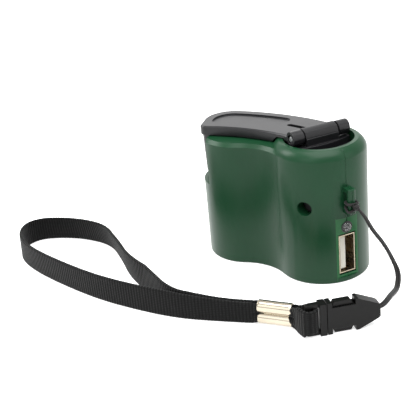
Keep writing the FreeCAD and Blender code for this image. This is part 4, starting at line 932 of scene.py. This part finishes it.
# ---------------------------------------------------------------- strap, ferrule, buckle and cord
@dataclass
class WovenBand:
    """Webbing on its edge. A place across it is w, from -1 at the lower selvedge to 1 at the upper
    one, and a place through it is t, from -1 to 1. Where it is gathered, it swells into two lobes,
    one for each barrel of the ferrule."""

    path: np.ndarray
    low: np.ndarray
    high: np.ndarray
    gather: np.ndarray
    lean: np.ndarray
    pull: float = 0.0
    thickness: float = 1.1 * MM
    flat_share: float = 0.92
    rib: float = 1.05 * MM
    scallop: float = 0.09 * MM
    pleat: float = 0.0
    pleat_turns: float = 3.3 * math.pi
    pleat_start: float = 1.1
    lobe_half_mm: tuple[float, float] = (0.14, 0.5)
    pulled_mm: tuple[float, float] = (0.16, 0.48)
    fray: float = 0.16 * MM
    fray_waves: tuple[float, float] = (0.31 * MM, 0.83 * MM)
    edge_power: int = 9

    def section(self) -> np.ndarray:
        """Return a ring of (w, t) pairs: two flats that half rounds join at the selvedges."""
        turn = np.linspace(-math.pi / 2, math.pi / 2, 5)
        flat_end = self.flat_share
        selvedge = np.stack([flat_end + (1.0 - flat_end) * np.cos(turn), np.sin(turn)], axis=1)
        across = np.linspace(flat_end, -flat_end, 19)[1:-1]
        flat = np.stack([across, np.ones(len(across))], axis=1)
        return np.concatenate([selvedge, flat, -selvedge, -flat])

    def patch(self) -> Patch:
        """Carry the section along the path. A place is the path's, plus a step to the side and a
        height. The side step is t times half the thickness, the lean times the height's share,
        the pull times the lobe where gathered, and a small wave where it starts to gather. The
        height runs evenly from the lower to the upper edge. Both edges swell with every rib, and
        fray a little where gathered.

        Returns:
            The webbing's surface.
        """
        heading, reach = along(self.path)
        side = np.stack([-heading[:, 1], heading[:, 0], np.zeros(len(reach))], axis=1)
        w, t = self.section().T
        lobe = np.sqrt(np.clip(1.0 - (2.0 * np.abs(w) - 1.0) ** 2, 0.0, 1.0))
        drawn = self.gather[:, None]
        thin, thick = self.lobe_half_mm
        through = (1.0 - drawn) * self.thickness / 2 + drawn * (thin + thick * lobe) * MM
        wave = np.cos(self.pleat_turns * w + self.pleat_start)
        near, far = self.pulled_mm
        step = (
            t * through + self.lean[:, None] * (w + 1.0) / 2
            + drawn * self.pull * (near + far * lobe) * MM
            + self.pleat * np.sqrt(drawn * (1.0 - drawn)) * wave
        )
        swell = self.scallop * np.abs(np.sin(math.pi * reach / self.rib))
        first, second = (np.sin(reach / long) for long in self.fray_waves)
        fray = self.fray * drawn[:, 0] * first * second
        edge = np.sign(w) * np.abs(w) ** self.edge_power
        height = (
            (self.low + self.high)[:, None] / 2 + (self.high - self.low)[:, None] / 2 * w
            + (swell + fray)[:, None] * edge
        )
        rings = self.path[:, None, :] + side[:, None, :] * step[:, :, None]
        rings[:, :, 2] = height
        uv = np.stack([np.repeat(reach[:, None], len(w), axis=1), height], axis=2)
        return swept(rings, uv, False)

    def area(self) -> float:
        """Return the webbing's flat area: the sum of each step times the mean width across it."""
        width = self.high - self.low
        return float(np.sum(np.diff(along(self.path)[1]) * (width[1:] + width[:-1]) / 2))


@dataclass
class Crimp:
    """The ferrule: one sheet bent into two barrels, one above the other, that holds both straps."""

    start: tuple[float, float] = (20.8 * MM, -35.9 * MM)
    run: tuple[float, float] = (0.739, 0.6735)
    length: float = 10.6 * MM
    radius: float = 1.95 * MM
    pitch: float = 3.7 * MM
    wall: float = 0.36 * MM
    crease: float = 0.13
    squeeze: float = 0.05 * MM
    squeeze_width: float = 0.16
    around: int = 120

    def place(
        self, along_run: Measure, aside: Measure, height: Measure = 0.0
    ) -> tuple[Measure, Measure, Measure]:
        """Return a place this far along the ferrule and to its far side, all in metres."""
        (x, y), (rx, ry) = self.start, self.run
        return x + rx * along_run - ry * aside, y + ry * along_run + rx * aside, height

    def patch(self) -> Patch:
        """Bend the sheet round both barrels. In its section the distance from the middle is half
        the pitch times the turn's softened sine, plus the root of the barrel's radius squared
        less the square of half the pitch times the cosine. Each place then follows a rounded
        strip, which runs along the outside, a little squeezed at half its length, and back along
        the inside.

        Returns:
            The ferrule's surface.
        """
        turn = np.linspace(0.0, math.tau, self.around, endpoint=False)
        half = self.pitch / 2
        bulge = np.sqrt(np.sin(turn) ** 2 + self.crease ** 2)
        reach = half * bulge + np.sqrt(self.radius ** 2 - (half * np.cos(turn)) ** 2)
        bend = np.linspace(0.0, math.pi, 6)
        edge = self.wall / 2
        ends = np.stack([edge * np.sin(bend), edge - edge * np.cos(bend)], axis=1)
        outer = np.linspace(edge, self.length - edge, 15)[1:-1]
        pinch = self.squeeze * np.exp(-((outer / self.length - 0.5) / self.squeeze_width) ** 2)
        strip = np.concatenate([
            np.stack([outer, pinch], axis=1),
            ends + [self.length - edge, 0],
            np.stack([outer[::-1], self.wall + pinch[::-1]], axis=1),
            ends[::-1] * [-1, 1] + [edge, 0],
        ])
        distance = reach[:, None] - strip[None, :, 1]
        aside = distance * np.cos(turn)[:, None]
        up = distance * np.sin(turn)[:, None] + self.radius + half
        run = np.broadcast_to(strip[:, 0], aside.shape)
        rings = np.stack(self.place(run, aside, up), axis=2)
        uv = np.stack([run, np.broadcast_to((reach * turn)[:, None], run.shape)], axis=2)
        return swept(rings, uv, True)


@dataclass
class WristStrap:
    """The webbing loop, which stands on its edge and ends in the ferrule."""

    width: float = 8.9 * MM
    lift: float = 0.1 * MM
    gathered_lift: float = 0.42 * MM
    fineness: int = 48
    inside: float = 1.7 * MM
    apart: float = 0.3 * MM
    parting: float = 0.35 * MM
    gathered: float = 2.6 * MM
    narrowing: float = 2.2 * MM
    narrows_over: float = 34.0 * MM
    route_mm: Profile = (
        (21.18, -36.77), (13.0, -46.6), (5.4, -55.2), (-4.8, -63.0), (-20.0, -72.4),
        (-37.0, -79.6), (-52.5, -84.9), (-64.8, -86.8), (-75.0, -83.2), (-77.6, -76.2),
        (-73.8, -68.8), (-67.0, -61.3), (-56.0, -55.2), (-42.0, -56.2), (-28.0, -58.4),
        (-14.2, -57.2), (0.8, -56.2), (7.4, -50.4), (13.2, -44.6), (19.98, -35.43),
    )
    lean_mm: Profile = (
        (0.0, 0.0), (95.0, 0.0), (112.0, -0.6), (124.0, -1.1), (138.0, -1.6), (160.0, -1.8),
        (176.0, -0.8), (190.0, 0.6), (205.0, 0.0), (240.0, 0.0),
    )

    def build(self, shop: Workshop, crimp: Crimp) -> None:
        """Its two gathered ends keep to their own sides of the ferrule's middle plane.

        Args:
            shop: The workshop.
            crimp: The ferrule that gathers both ends.
        """
        route = [
            crimp.place(self.inside, -self.apart),
            *((x * MM, y * MM, 0.0) for x, y in self.route_mm),
            crimp.place(self.inside, self.apart),
        ]
        path = spline_points(route, self.fineness)
        reach = along(path)[1]
        length = float(reach[-1])
        from_mouth = np.minimum(reach, length - reach) - self.inside
        gather = 1.0 - rise(from_mouth / self.gathered)
        narrowed = self.narrowing * (1.0 - rise(from_mouth / self.narrows_over))
        stops, leans = np.array(self.lean_mm).T * MM
        band = WovenBand(
            path,
            low=self.lift + self.gathered_lift * gather,
            high=self.lift + self.width - narrowed,
            gather=gather,
            lean=np.interp(reach, stops, leans),
        )
        surface = band.patch()
        aside = np.where(reach / length < 0.5, -1.0, 1.0) * gather * self.parting
        rx, ry = crimp.run
        surface.points += np.outer(np.repeat(aside, len(band.section())), (-ry, rx, 0.0))
        strap = mesh_object("wrist_webbing", surface)
        shop.add(strap, Finish.WEBBING, "root", "webbing_black", "strap_webbing")
        band.area()


@dataclass
class Lanyard:
    """The thin doubled cord from the eye to the buckle, and its hitch round the eye's bar."""

    diameter: float = 1.3 * MM
    strand: float = 0.44 * MM
    apart: float = 0.43 * MM
    sway: float = 0.5
    fineness: int = 14
    route_mm: tuple[Place, ...] = (
        (19.6, 0.75, 27.1), (20.1, 2.9, 24.3), (21.27, 5.05, 18.95), (22.0, 8.38, 14.13),
        (22.95, 10.98, 8.4), (24.8, 12.2, 3.4), (28.6, 8.9, 1.2), (32.4, 4.9, 2.6),
        (36.2, 0.6, 4.4), (39.2, -2.8, 5.2), (41.0, -6.2, 5.25), (40.6, -8.7, 5.25),
    )
    bar_mm: tuple[float, float] = (17.6, 0.0)
    bar_half_mm: tuple[float, float] = (0.6, 1.3)
    bar_gap: float = 0.06 * MM
    loops_mm: tuple[Place, ...] = ((28.55, 28.25, 0.2), (27.2, 26.2, -0.6))
    knot_turns: float = 2.5
    knot_radius_mm: tuple[float, float] = (0.36, 0.3)
    knot_start_mm: float = 0.25
    knot_length_mm: float = 1.55

    def build(self, shop: Workshop, on_cord: list[bpy.types.Object]) -> None:
        """The strands sway about the route by the sine of the share of the length.

        Args:
            shop: The workshop.
            on_cord: The pieces that hang on the cord; not used.
        """
        route = [tuple(v * MM for v in place) for place in self.route_mm]
        path = spline_points(route, self.fineness)
        heading, reach = along(path)
        beside = np.cross(heading, [0.0, 0.0, 1.0])
        beside /= np.linalg.norm(beside, axis=1, keepdims=True)
        over = np.cross(heading, beside)
        twist = self.sway * np.sin(reach / reach[-1] * math.tau)[:, None]
        beside = beside * np.cos(twist) + over * np.sin(twist)
        strands = [
            tube(path + beside * step, self.strand, beside) for step in (-self.apart, self.apart)
        ]
        cord = mesh_object("lanyard_cord_pair", joined(strands))
        shop.add(cord, Finish.CORD, "root", "cord_black", "lanyard_cord")
        loops = [self.loop(*heights) for heights in self.loops_mm]
        knot = self.knot(path[0], heading[0])
        hitch = mesh_object("cord_hitch_loops", joined([*loops, knot]))
        shop.add(hitch, Finish.CORD, "root", "cord_black", "cord_hitch")

    def loop(self, back_mm: float, front_mm: float, slope_mm: float) -> Patch:
        """Pass one strand round the eye's bar. In plan it is a rounded square: each half-width
        times the turn's cosine or sine over the fifth root of the sum of both to the fifth power.
        Its height goes from the back's to the front's with the share of the way forward.

        Args:
            back_mm: Its height behind the bar.
            front_mm: Its height in front of the bar.
            slope_mm: How much higher its left end is than its right end.

        Returns:
            The strand's closed surface.
        """
        turn = np.linspace(0.0, math.tau, 72, endpoint=False)
        cosine, sine = np.cos(turn), np.sin(turn)
        square = (np.abs(cosine) ** 5 + np.abs(sine) ** 5) ** -0.2
        clear = self.strand + self.bar_gap
        x = self.bar_mm[0] * MM + (self.bar_half_mm[0] * MM + clear) * cosine * square
        y = self.bar_mm[1] * MM + (self.bar_half_mm[1] * MM + clear) * sine * square
        front = rise((cosine + 1.0) / 2)
        z = (back_mm + (front_mm - back_mm) * front - slope_mm * sine * front) * MM
        path = np.stack([x, y, z], axis=1)
        return tube(path, self.strand, np.stack([cosine, sine, 0.0 * turn], axis=1), closed=True)

    def knot(self, foot: np.ndarray, heading: np.ndarray) -> Patch:
        """Wind the knot above the cord's start: a helix along the cord, whose radius swells in
        its middle with the sine of half a turn.

        Args:
            foot: Where the cord starts.
            heading: The way in which the cord leaves.

        Returns:
            The knot's surface.
        """
        share = np.linspace(0.0, 1.0, 90)
        turn = share * self.knot_turns * math.tau
        across = np.cross(heading, [0.0, 0.0, 1.0])
        across /= np.linalg.norm(across)
        over = np.cross(heading, across)
        out = np.outer(np.cos(turn), across) + np.outer(np.sin(turn), over)
        least, swell = self.knot_radius_mm
        radius = (least + swell * np.sin(math.pi * share)) * MM
        climb = (self.knot_start_mm - self.knot_length_mm * share) * MM
        path = foot + np.outer(climb, heading) + out * radius[:, None]
        return tube(path, self.strand, out)


@dataclass
class StrapEnd:
    """The strap's short end: webbing that goes from the ferrule round the clip's bar and back. It
    is narrow and gathered at the ferrule's mouth, opens out on its way, and its lower edge rises
    over the clip's leg beyond the bar."""

    fineness: int = 24
    neck_gap: float = 0.9 * MM
    inside: float = 1.5 * MM
    inside_apart: float = 0.3 * MM
    mouth: float = 0.6 * MM
    mouth_apart: float = 0.6 * MM
    loop: float = 2.02 * MM
    corners: Profile = ((-1.1, -1.0), (1.0, -1.0), (1.0, 1.0), (-1.1, 1.0))
    top: float = 8.95 * MM
    neck_top: float = 7.05 * MM
    foot: float = 0.3 * MM
    neck_lift: float = 0.22 * MM
    leg_top: float = 1.6 * MM
    opens_over: float = 4.6 * MM
    gather_back: float = 0.6 * MM
    gathered: float = 3.4 * MM
    past_bar: float = 0.2 * MM
    rises_over: float = 1.1 * MM
    pleat: float = 0.3 * MM

    def build(self, shop: Workshop, crimp: Crimp, bar: np.ndarray) -> bpy.types.Object:
        """Fold the webbing: its line goes round a square of control points about the bar.

        Args:
            shop: The workshop.
            crimp: The ferrule.
            bar: The foot of the clip's bar.

        Returns:
            The folded webbing.
        """
        neck = np.array(crimp.place(crimp.length + self.neck_gap, 0.0))
        span = np.linalg.norm(bar - neck)
        run = (bar - neck) / span
        side = np.array([-run[1], run[0], 0.0])
        inside, mouth = crimp.length - self.inside, crimp.length + self.mouth
        route = [
            crimp.place(inside, -self.inside_apart), crimp.place(mouth, -self.mouth_apart),
            *(tuple(bar + (run * step + side * out) * self.loop) for step, out in self.corners),
            crimp.place(mouth, self.mouth_apart), crimp.place(inside, self.inside_apart),
        ]
        path = spline_points(route, self.fineness)
        reached = (path - neck) @ run
        opened = rise(reached / self.opens_over)
        past = rise((reached - span - self.past_bar) / self.rises_over)
        band = WovenBand(
            path,
            low=self.foot + self.neck_lift * (1.0 - opened) + (self.leg_top - self.foot) * past,
            high=self.neck_top + (self.top - self.neck_top) * opened,
            gather=1.0 - rise((reached + self.gather_back) / self.gathered),
            lean=np.zeros(len(path)),
            pull=-1.0,
            pleat=self.pleat,
        )
        piece = mesh_object("strap_end_fold", band.patch())
        shop.add(piece, Finish.WEBBING, "root", "webbing_black", "strap_end")
        length = float(along(path)[1][-1])
        band.area()
        return piece


@dataclass
class Buckle:
    """The side-release buckle, which is narrower and thinner than its CAD form."""

    corner: Place = (36.2 * MM, -22.3 * MM, 0.1 * MM)
    heading_degrees: float = 75.3
    narrower: float = 0.83
    thinner: float = 0.69
    front: float = 2.6 * MM
    bar_back: float = 5.0 * MM
    refined: tuple[Refined, ...] = (
        Refined("buckle_socket", Finish.BUCKLE, "root", "buckle_black", "black", 0.28),
        Refined("buckle_clip", Finish.BUCKLE, "root", "buckle_black", "black", 0.22),
    )

    def build(self, shop: Workshop, crimp: Crimp) -> list[bpy.types.Object]:
        """Bend the ferrule, refine the buckle's halves and fold the strap's short end.

        Args:
            shop: The workshop.
            crimp: The ferrule.

        Returns:
            The pieces that hang on the cord.
        """
        ferrule = mesh_object("ferrule_crimped", crimp.patch())
        shop.add(ferrule, Finish.CRIMP, "root", "ferrule_nickel", "ferrule")
        halves = [shop.refine(plan) for plan in self.refined]
        for half in halves:
            self.slim(half)
        return [*halves, ferrule, StrapEnd().build(shop, crimp, self.bar())]

    def axes(self) -> tuple[np.ndarray, np.ndarray]:
        """Return the buckle's own directions: from the strap to the cord, and out of its face."""
        turn = math.radians(self.heading_degrees)
        run = np.array([math.cos(turn), math.sin(turn), 0.0])
        return run, np.cross(run, [0.0, 0.0, 1.0])

    def bar(self) -> np.ndarray:
        """Find the foot of the clip's bar, behind the corner and drawn towards the thinned face.

        Returns:
            Its place at height nought.
        """
        run, out = self.axes()
        drawn = out * self.front * (1.0 - self.thinner)
        place = np.array(self.corner) - run * self.bar_back + drawn
        place[2] = 0.0
        return place

    def slim(self, half: bpy.types.Object) -> None:
        """Give a half its narrow, thin form: heights above its foot shrink by one share and
        depths behind its face by another.

        Args:
            half: The buckle's half.
        """
        mesh = half.data
        places = np.zeros(len(mesh.vertices) * 3)
        mesh.vertices.foreach_get("co", places)
        places = places.reshape(-1, 3)
        out = self.axes()[1]
        depth = self.front - (places - self.corner) @ out
        places += np.outer(depth * (1.0 - self.thinner), out)
        places[:, 2] = self.corner[2] + (places[:, 2] - self.corner[2]) * self.narrower
        mesh.vertices.foreach_set("co", places.ravel())
        mesh.update()


# ---------------------------------------------------------------- studio
@dataclass(frozen=True)
class SoftLamp:
    """A square soft lamp that points at the body. Its place and its side's length are in metres,
    and its power is in watts."""

    name: str
    place: Place
    size: float
    power: float
    aim: Place = (0.0, -0.02, 0.02)

    def hang(self) -> None:
        """Hang the lamp."""
        data = bpy.data.lights.new(self.name, "AREA")
        data.size = self.size
        data.energy = self.power
        made = linked(self.name, data)
        made.location = self.place
        aim = Vector(self.aim) - made.location
        made.rotation_euler = aim.to_track_quat("-Z", "Y").to_euler()


@dataclass
class Studio:
    """A white floor, soft lamps and the camera. The flat tops mirror the lamp behind, and the ring
    round the hub the one to the left."""

    azimuth: float = 66.7
    elevation: float = 23.9
    roll: float = -5.64
    distance_mm: float = 299.35
    shift_right_mm: float = -36.906
    shift_up_mm: float = 22.13
    lens: float = 77.19
    sensor: float = 36.0
    clip: tuple[float, float] = (0.01, 20.0)
    world_light: float = 0.4
    floor_half: float = 3.0
    floor_height: float = -0.05 * MM
    floor_seen: float = 0.92
    floor_glow: float = 0.6
    floor_thrown: float = 0.42
    lamps: tuple[SoftLamp, ...] = (
        SoftLamp("top_lamp", (0.2, -0.04, 0.8), 0.8, 9.0),
        SoftLamp("key_lamp", (0.35, -0.65, 0.45), 0.5, 1.0),
        SoftLamp("fill_lamp", (0.6, 0.5, 0.35), 0.5, 0.8),
        SoftLamp("back_lamp", (-0.7, 0.3, 0.36), 0.7, 1.1),
        SoftLamp("left_lamp", (-0.45, -0.5, 0.5), 0.35, 3.2),
    )

    def build(self) -> None:
        """Set up the camera, the lamps, the world and the floor."""
        self.camera()
        for lamp in self.lamps:
            lamp.hang()
        self.world()
        self.floor()
        bpy.context.scene.view_settings.view_transform = "Standard"

    def camera(self) -> None:
        """Place the camera by its bearing, height, roll and distance from the body's foot."""
        turn, climb = math.radians(self.azimuth), math.radians(self.elevation)
        back = Vector((
            math.sin(turn) * math.cos(climb), -math.cos(turn) * math.cos(climb), math.sin(climb)
        ))
        right = Vector((math.cos(turn), math.sin(turn), 0.0))
        up = back.cross(right)
        lean = math.radians(self.roll)
        across = right * math.cos(lean) + up * math.sin(lean)
        upward = up * math.cos(lean) - right * math.sin(lean)
        matrix = Matrix((across, upward, back)).transposed().to_4x4()
        matrix.translation = (
            back * self.distance_mm + right * self.shift_right_mm + up * self.shift_up_mm
        ) * MM
        data = bpy.data.cameras.new("camera")
        data.lens = self.lens
        data.sensor_width = self.sensor
        data.sensor_height = self.sensor
        data.sensor_fit = "HORIZONTAL"
        data.clip_start, data.clip_end = self.clip
        camera = linked("camera", data)
        camera.matrix_world = matrix
        bpy.context.scene.camera = camera

    def world(self) -> None:
        """Light all round with a dim white, which the camera, gloss and clear pieces see as full
        white."""
        world = bpy.data.worlds.new("studio")
        bpy.context.scene.world = world
        recipe = Recipe(world, "ShaderNodeOutputWorld")
        strength = recipe.ranged(recipe.seen(), self.world_light, 1.0)
        back = recipe.add("ShaderNodeBackground", {"Color": WHITE, "Strength": strength})
        recipe.close(back["Background"])

    def floor(self) -> None:
        """Lay a wide white floor that keeps the object's shadow and throws little light back up."""
        corners = np.array([[-1.0, -1.0], [1.0, -1.0], [1.0, 1.0], [-1.0, 1.0]])
        heights = np.full((4, 1), self.floor_height)
        places = np.concatenate([corners * self.floor_half, heights], axis=1)
        floor = mesh_object("floor", Patch(places, np.array([[0, 1, 2, 3]]), corners), smooth=False)
        recipe = Recipe(bpy.data.materials.new("white paper"))
        matt, dim = (
            recipe.add("ShaderNodeBsdfDiffuse", {"Color": (grey, grey, grey, 1.0)})["BSDF"]
            for grey in (self.floor_seen, self.floor_thrown)
        )
        glow = recipe.add("ShaderNodeEmission", {"Color": WHITE, "Strength": self.floor_glow})
        bright = recipe.add("ShaderNodeAddShader", {0: matt, 1: glow["Emission"]})
        paper = recipe.add("ShaderNodeMixShader", {0: recipe.seen(), 1: dim, 2: bright["Shader"]})
        floor.data.materials.append(recipe.close(paper["Shader"]))


def main() -> None:
    """Build every sub-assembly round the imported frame."""
    logging.basicConfig(level=logging.INFO, format="%(message)s")
    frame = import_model()
    shop = Workshop(frame["nodes"])
    Studio().build()
    for assembly in (Housing(), Crank(), Drive(), Electrics(), Lamp()):
        assembly.build(shop)
    crimp = Crimp()
    on_cord = Buckle().build(shop, crimp)
    WristStrap().build(shop, crimp)
    Lanyard().build(shop, on_cord)


if __name__ == "__main__":
    main()
